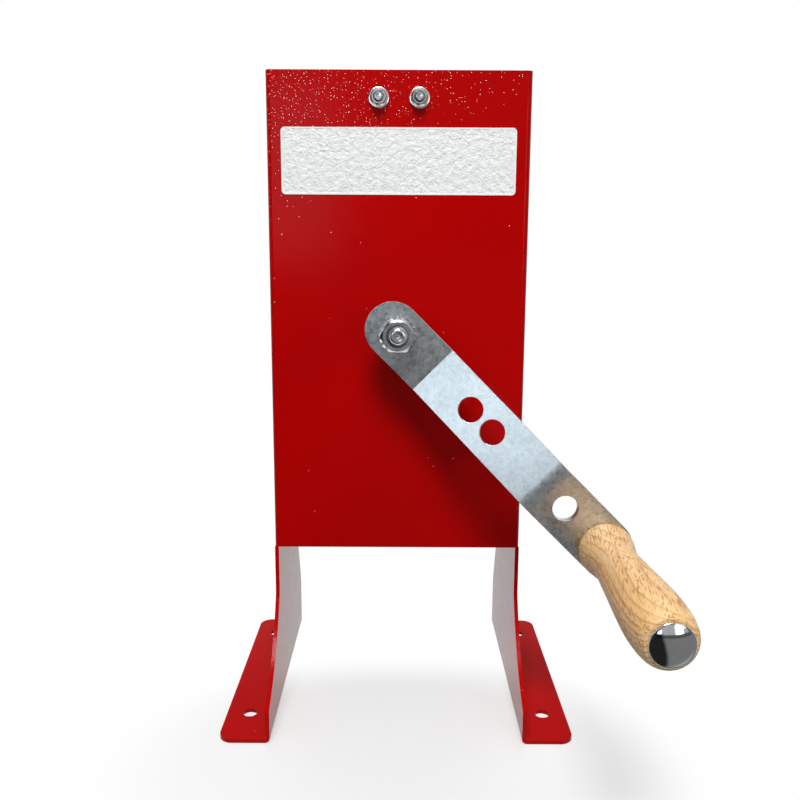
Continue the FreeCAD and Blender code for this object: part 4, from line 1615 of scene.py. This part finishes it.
@dataclass(frozen=True)
class Studio:
    """The floor, the background, the lamps and the camera."""

    camera_place: Triple = (1.17 * MM, -658.87 * MM, 351.76 * MM)
    pitch: float = 9.949
    yaw: float = 0.059
    roll: float = 0.294
    focal_pixels: float = 830.986
    picture_pixels: float = 800.0
    sensor: float = 36.0
    floor_radius: float = 0.62
    floor_shift: float = 0.34
    floor_colour: Colour = (0.42, 0.42, 0.42, 1.0)
    floor_glow: float = 0.46
    shadow_place: Triple = (0.0, -0.13, 0.0)
    shadow_stretch: Triple = (1.0, 1.4, 1.0)
    shadow_fade: tuple[float, float] = (0.14, 0.23)
    ambient: float = 0.26
    below: float = 0.20
    level: float = 0.09
    above: float = 0.45
    low_band: tuple[float, float] = (-0.06, 0.02)
    high_band: tuple[float, float] = (0.08, 0.16)
    left_room: float = 0.08
    left_slant: float = 0.35
    left_band: tuple[float, float] = (-0.24, -0.06)
    backdrop: float = 1.0
    upper_backdrop: float = 0.30
    backdrop_band: tuple[float, float] = (0.15, 0.5)
    depth_band: tuple[float, float] = (-0.3, 0.2)
    lamps: tuple[Softbox, ...] = (
        Softbox("key_box", -6.0, 57.0, 1.9, 0.75, 0.55, 34.5),
        Softbox("left_box", -19.0, 11.5, 1.5, 0.62, 0.42, 1.75, (0.78, 0.92, 1.0)),
        Softbox("right_box", 30.0, 10.0, 1.5, 0.44, 0.40, 2.0),
        Softbox("back_box", 180.0, 62.0, 1.9, 1.2, 1.0, 15.0),
    )

    def build(self) -> None:
        """Set up everything round the press."""
        bpy.context.scene.view_settings.view_transform = "Standard"
        self.build_camera()
        self.build_floor()
        self.build_world()
        for lamp in self.lamps:
            lamp.build()

    def build_camera(self) -> None:
        """Add the camera at the photograph's place."""
        lens = bpy.data.cameras.new("camera")
        lens.sensor_fit = "HORIZONTAL"
        lens.sensor_width = self.sensor
        lens.lens = self.focal_pixels / self.picture_pixels * self.sensor
        lens.clip_start = 0.01
        camera = bpy.data.objects.new("camera", lens)
        yaw, pitch = math.radians(self.yaw), math.radians(self.pitch)
        ahead = Vector((math.sin(yaw) * math.cos(pitch), math.cos(yaw) * math.cos(pitch),
                        -math.sin(pitch)))
        right = Vector((math.cos(yaw), -math.sin(yaw), 0.0))
        up = right.cross(ahead)
        roll = math.radians(self.roll)
        level_right = math.cos(roll) * right + math.sin(roll) * up
        level_up = math.cos(roll) * up - math.sin(roll) * right
        turn = Matrix((level_right, level_up, -ahead)).transposed()
        camera.matrix_world = Matrix.Translation(self.camera_place) @ turn.to_4x4()
        bpy.context.scene.collection.objects.link(camera)
        bpy.context.scene.camera = camera

    @staticmethod
    def seen_directly(graph: Graph) -> Value:
        """Tell whether a camera, glossy or transmission ray looks here.

        Args:
            graph: The graph to add to.

        Returns:
            One for such a ray, and nought for another.
        """
        path = graph.node("ShaderNodeLightPath").outputs
        seen = Value(graph, path["Is Camera Ray"]) + Value(graph, path["Is Glossy Ray"])
        seen = seen + Value(graph, path["Is Transmission Ray"])
        return graph.value("ShaderNodeClamp", {}, {0: seen})

    def build_floor(self) -> None:
        """Add a pale round floor that keeps the shadow near the press and is white further off."""
        sheet = bmesh.new()
        bmesh.ops.create_circle(sheet, cap_ends=True, segments=96, radius=self.floor_radius)
        bmesh.ops.translate(sheet, vec=(0.0, self.floor_shift, 0.0), verts=sheet.verts)
        floor = mesh_piece("floor", sheet, 30.0)
        material, graph = new_material("floor")
        seen = self.seen_directly(graph)
        matte = graph.value("ShaderNodeBsdfDiffuse", {}, {"Color": self.floor_colour})
        glow, white = (graph.value("ShaderNodeEmission", {}, {"Strength": seen * strength})
                       for strength in (self.floor_glow, 1.0))
        near = graph.value("ShaderNodeAddShader", {}, {0: matte, 1: glow})
        where = graph.place(self.shadow_place, stretch=self.shadow_stretch)
        reach = graph.value("ShaderNodeVectorMath", {"operation": "LENGTH"}, {0: where}, "Value")
        fade = reach.eased(self.shadow_fade, 0.0, 1.0)
        shader = graph.value("ShaderNodeMixShader", {}, {0: fade, 1: near, 2: white})
        graph.node("ShaderNodeOutputMaterial", {}, {"Surface": shader})
        floor.data.materials.append(material)

    def build_world(self) -> None:
        """Add a white backdrop behind the press and a dim room in front of it."""
        world = bpy.data.worlds.new("studio")
        world.use_nodes = True
        bpy.context.scene.world = world
        graph = Graph(world.node_tree)
        across, ahead, lift = graph.axes(graph.value("ShaderNodeTexCoord", output="Generated"))
        camera = Value(graph, graph.node("ShaderNodeLightPath").outputs["Is Camera Ray"])
        room = lift.eased(self.low_band, self.below, self.level)
        room = room + lift.eased(self.high_band, 0.0, self.above - self.level)
        aside = across + lift * self.left_slant
        room = room * aside.eased(self.left_band, self.left_room, 1.0)
        behind = lift.eased(self.backdrop_band, self.backdrop, self.upper_backdrop)
        depth = ahead.eased(self.depth_band, 0.0, 1.0)
        mirrored = self.seen_directly(graph) - camera
        diffuse = 1.0 - camera - mirrored
        strength = (camera + mirrored * (room * (1.0 - depth) + behind * depth)
                    + diffuse * self.ambient)
        shader = graph.value("ShaderNodeBackground", {}, {
            "Color": (1.0, 1.0, 1.0, 1.0), "Strength": strength})
        graph.node("ShaderNodeOutputWorld", {}, {"Surface": shader})


def make_finishes() -> dict[Slot, bpy.types.Material]:
    """Build every material.

    Returns:
        The materials by slot.
    """
    label, grip = (tuple(Extent(node).middle) for node in ("label_plate", "handle_grip"))
    finishes = {
        Slot.RED: PowderCoat(),
        Slot.ZINC: Plated("zinc_plate", (0.47, 0.49, 0.51, 1.0), (0.74, 0.76, 0.78, 1.0),
                          0.24, 0.33, 260.0, scratches=0.48, relief=0.03 * MM),
        Slot.BRIGHT: Plated("bright_zinc", (0.60, 0.62, 0.64, 1.0), (0.84, 0.85, 0.86, 1.0),
                            0.15, 0.25, 420.0, scratches=0.12),
        Slot.JAW: Plated("jaw_steel", (0.16, 0.16, 0.17, 1.0), (0.34, 0.34, 0.35, 1.0),
                         0.34, 0.55, 120.0, 0.85, 0.5, 0.06 * MM),
        Slot.BRONZE: Plated("bronze", (0.45, 0.27, 0.11, 1.0), (0.66, 0.45, 0.22, 1.0),
                            0.24, 0.40, 260.0),
        Slot.FILM: LabelFilm(centre=label),
        Slot.BEECH: Beech(centre=grip),
        Slot.CHROME: Plated("chrome", (0.76, 0.76, 0.77, 1.0), (0.84, 0.84, 0.85, 1.0),
                            0.03, 0.07, 150.0, scratches=0.05, relief=0.005 * MM),
    }
    return {slot: finish.build() for slot, finish in finishes.items()}


def main() -> None:
    """Build the studio and every sub-assembly, in order."""
    logging.basicConfig(level=logging.INFO, format="%(name)s: %(message)s")
    Studio().build()
    shop = Shop(make_finishes())
    Housing(shop).build()
    HingeRods(shop).build()
    for side in Side:
        Jaw(shop, side).build()
    CamShaft(shop).build()
    Lever(shop).build()
    Handle(shop).build()


if __name__ == "__main__":
    main()
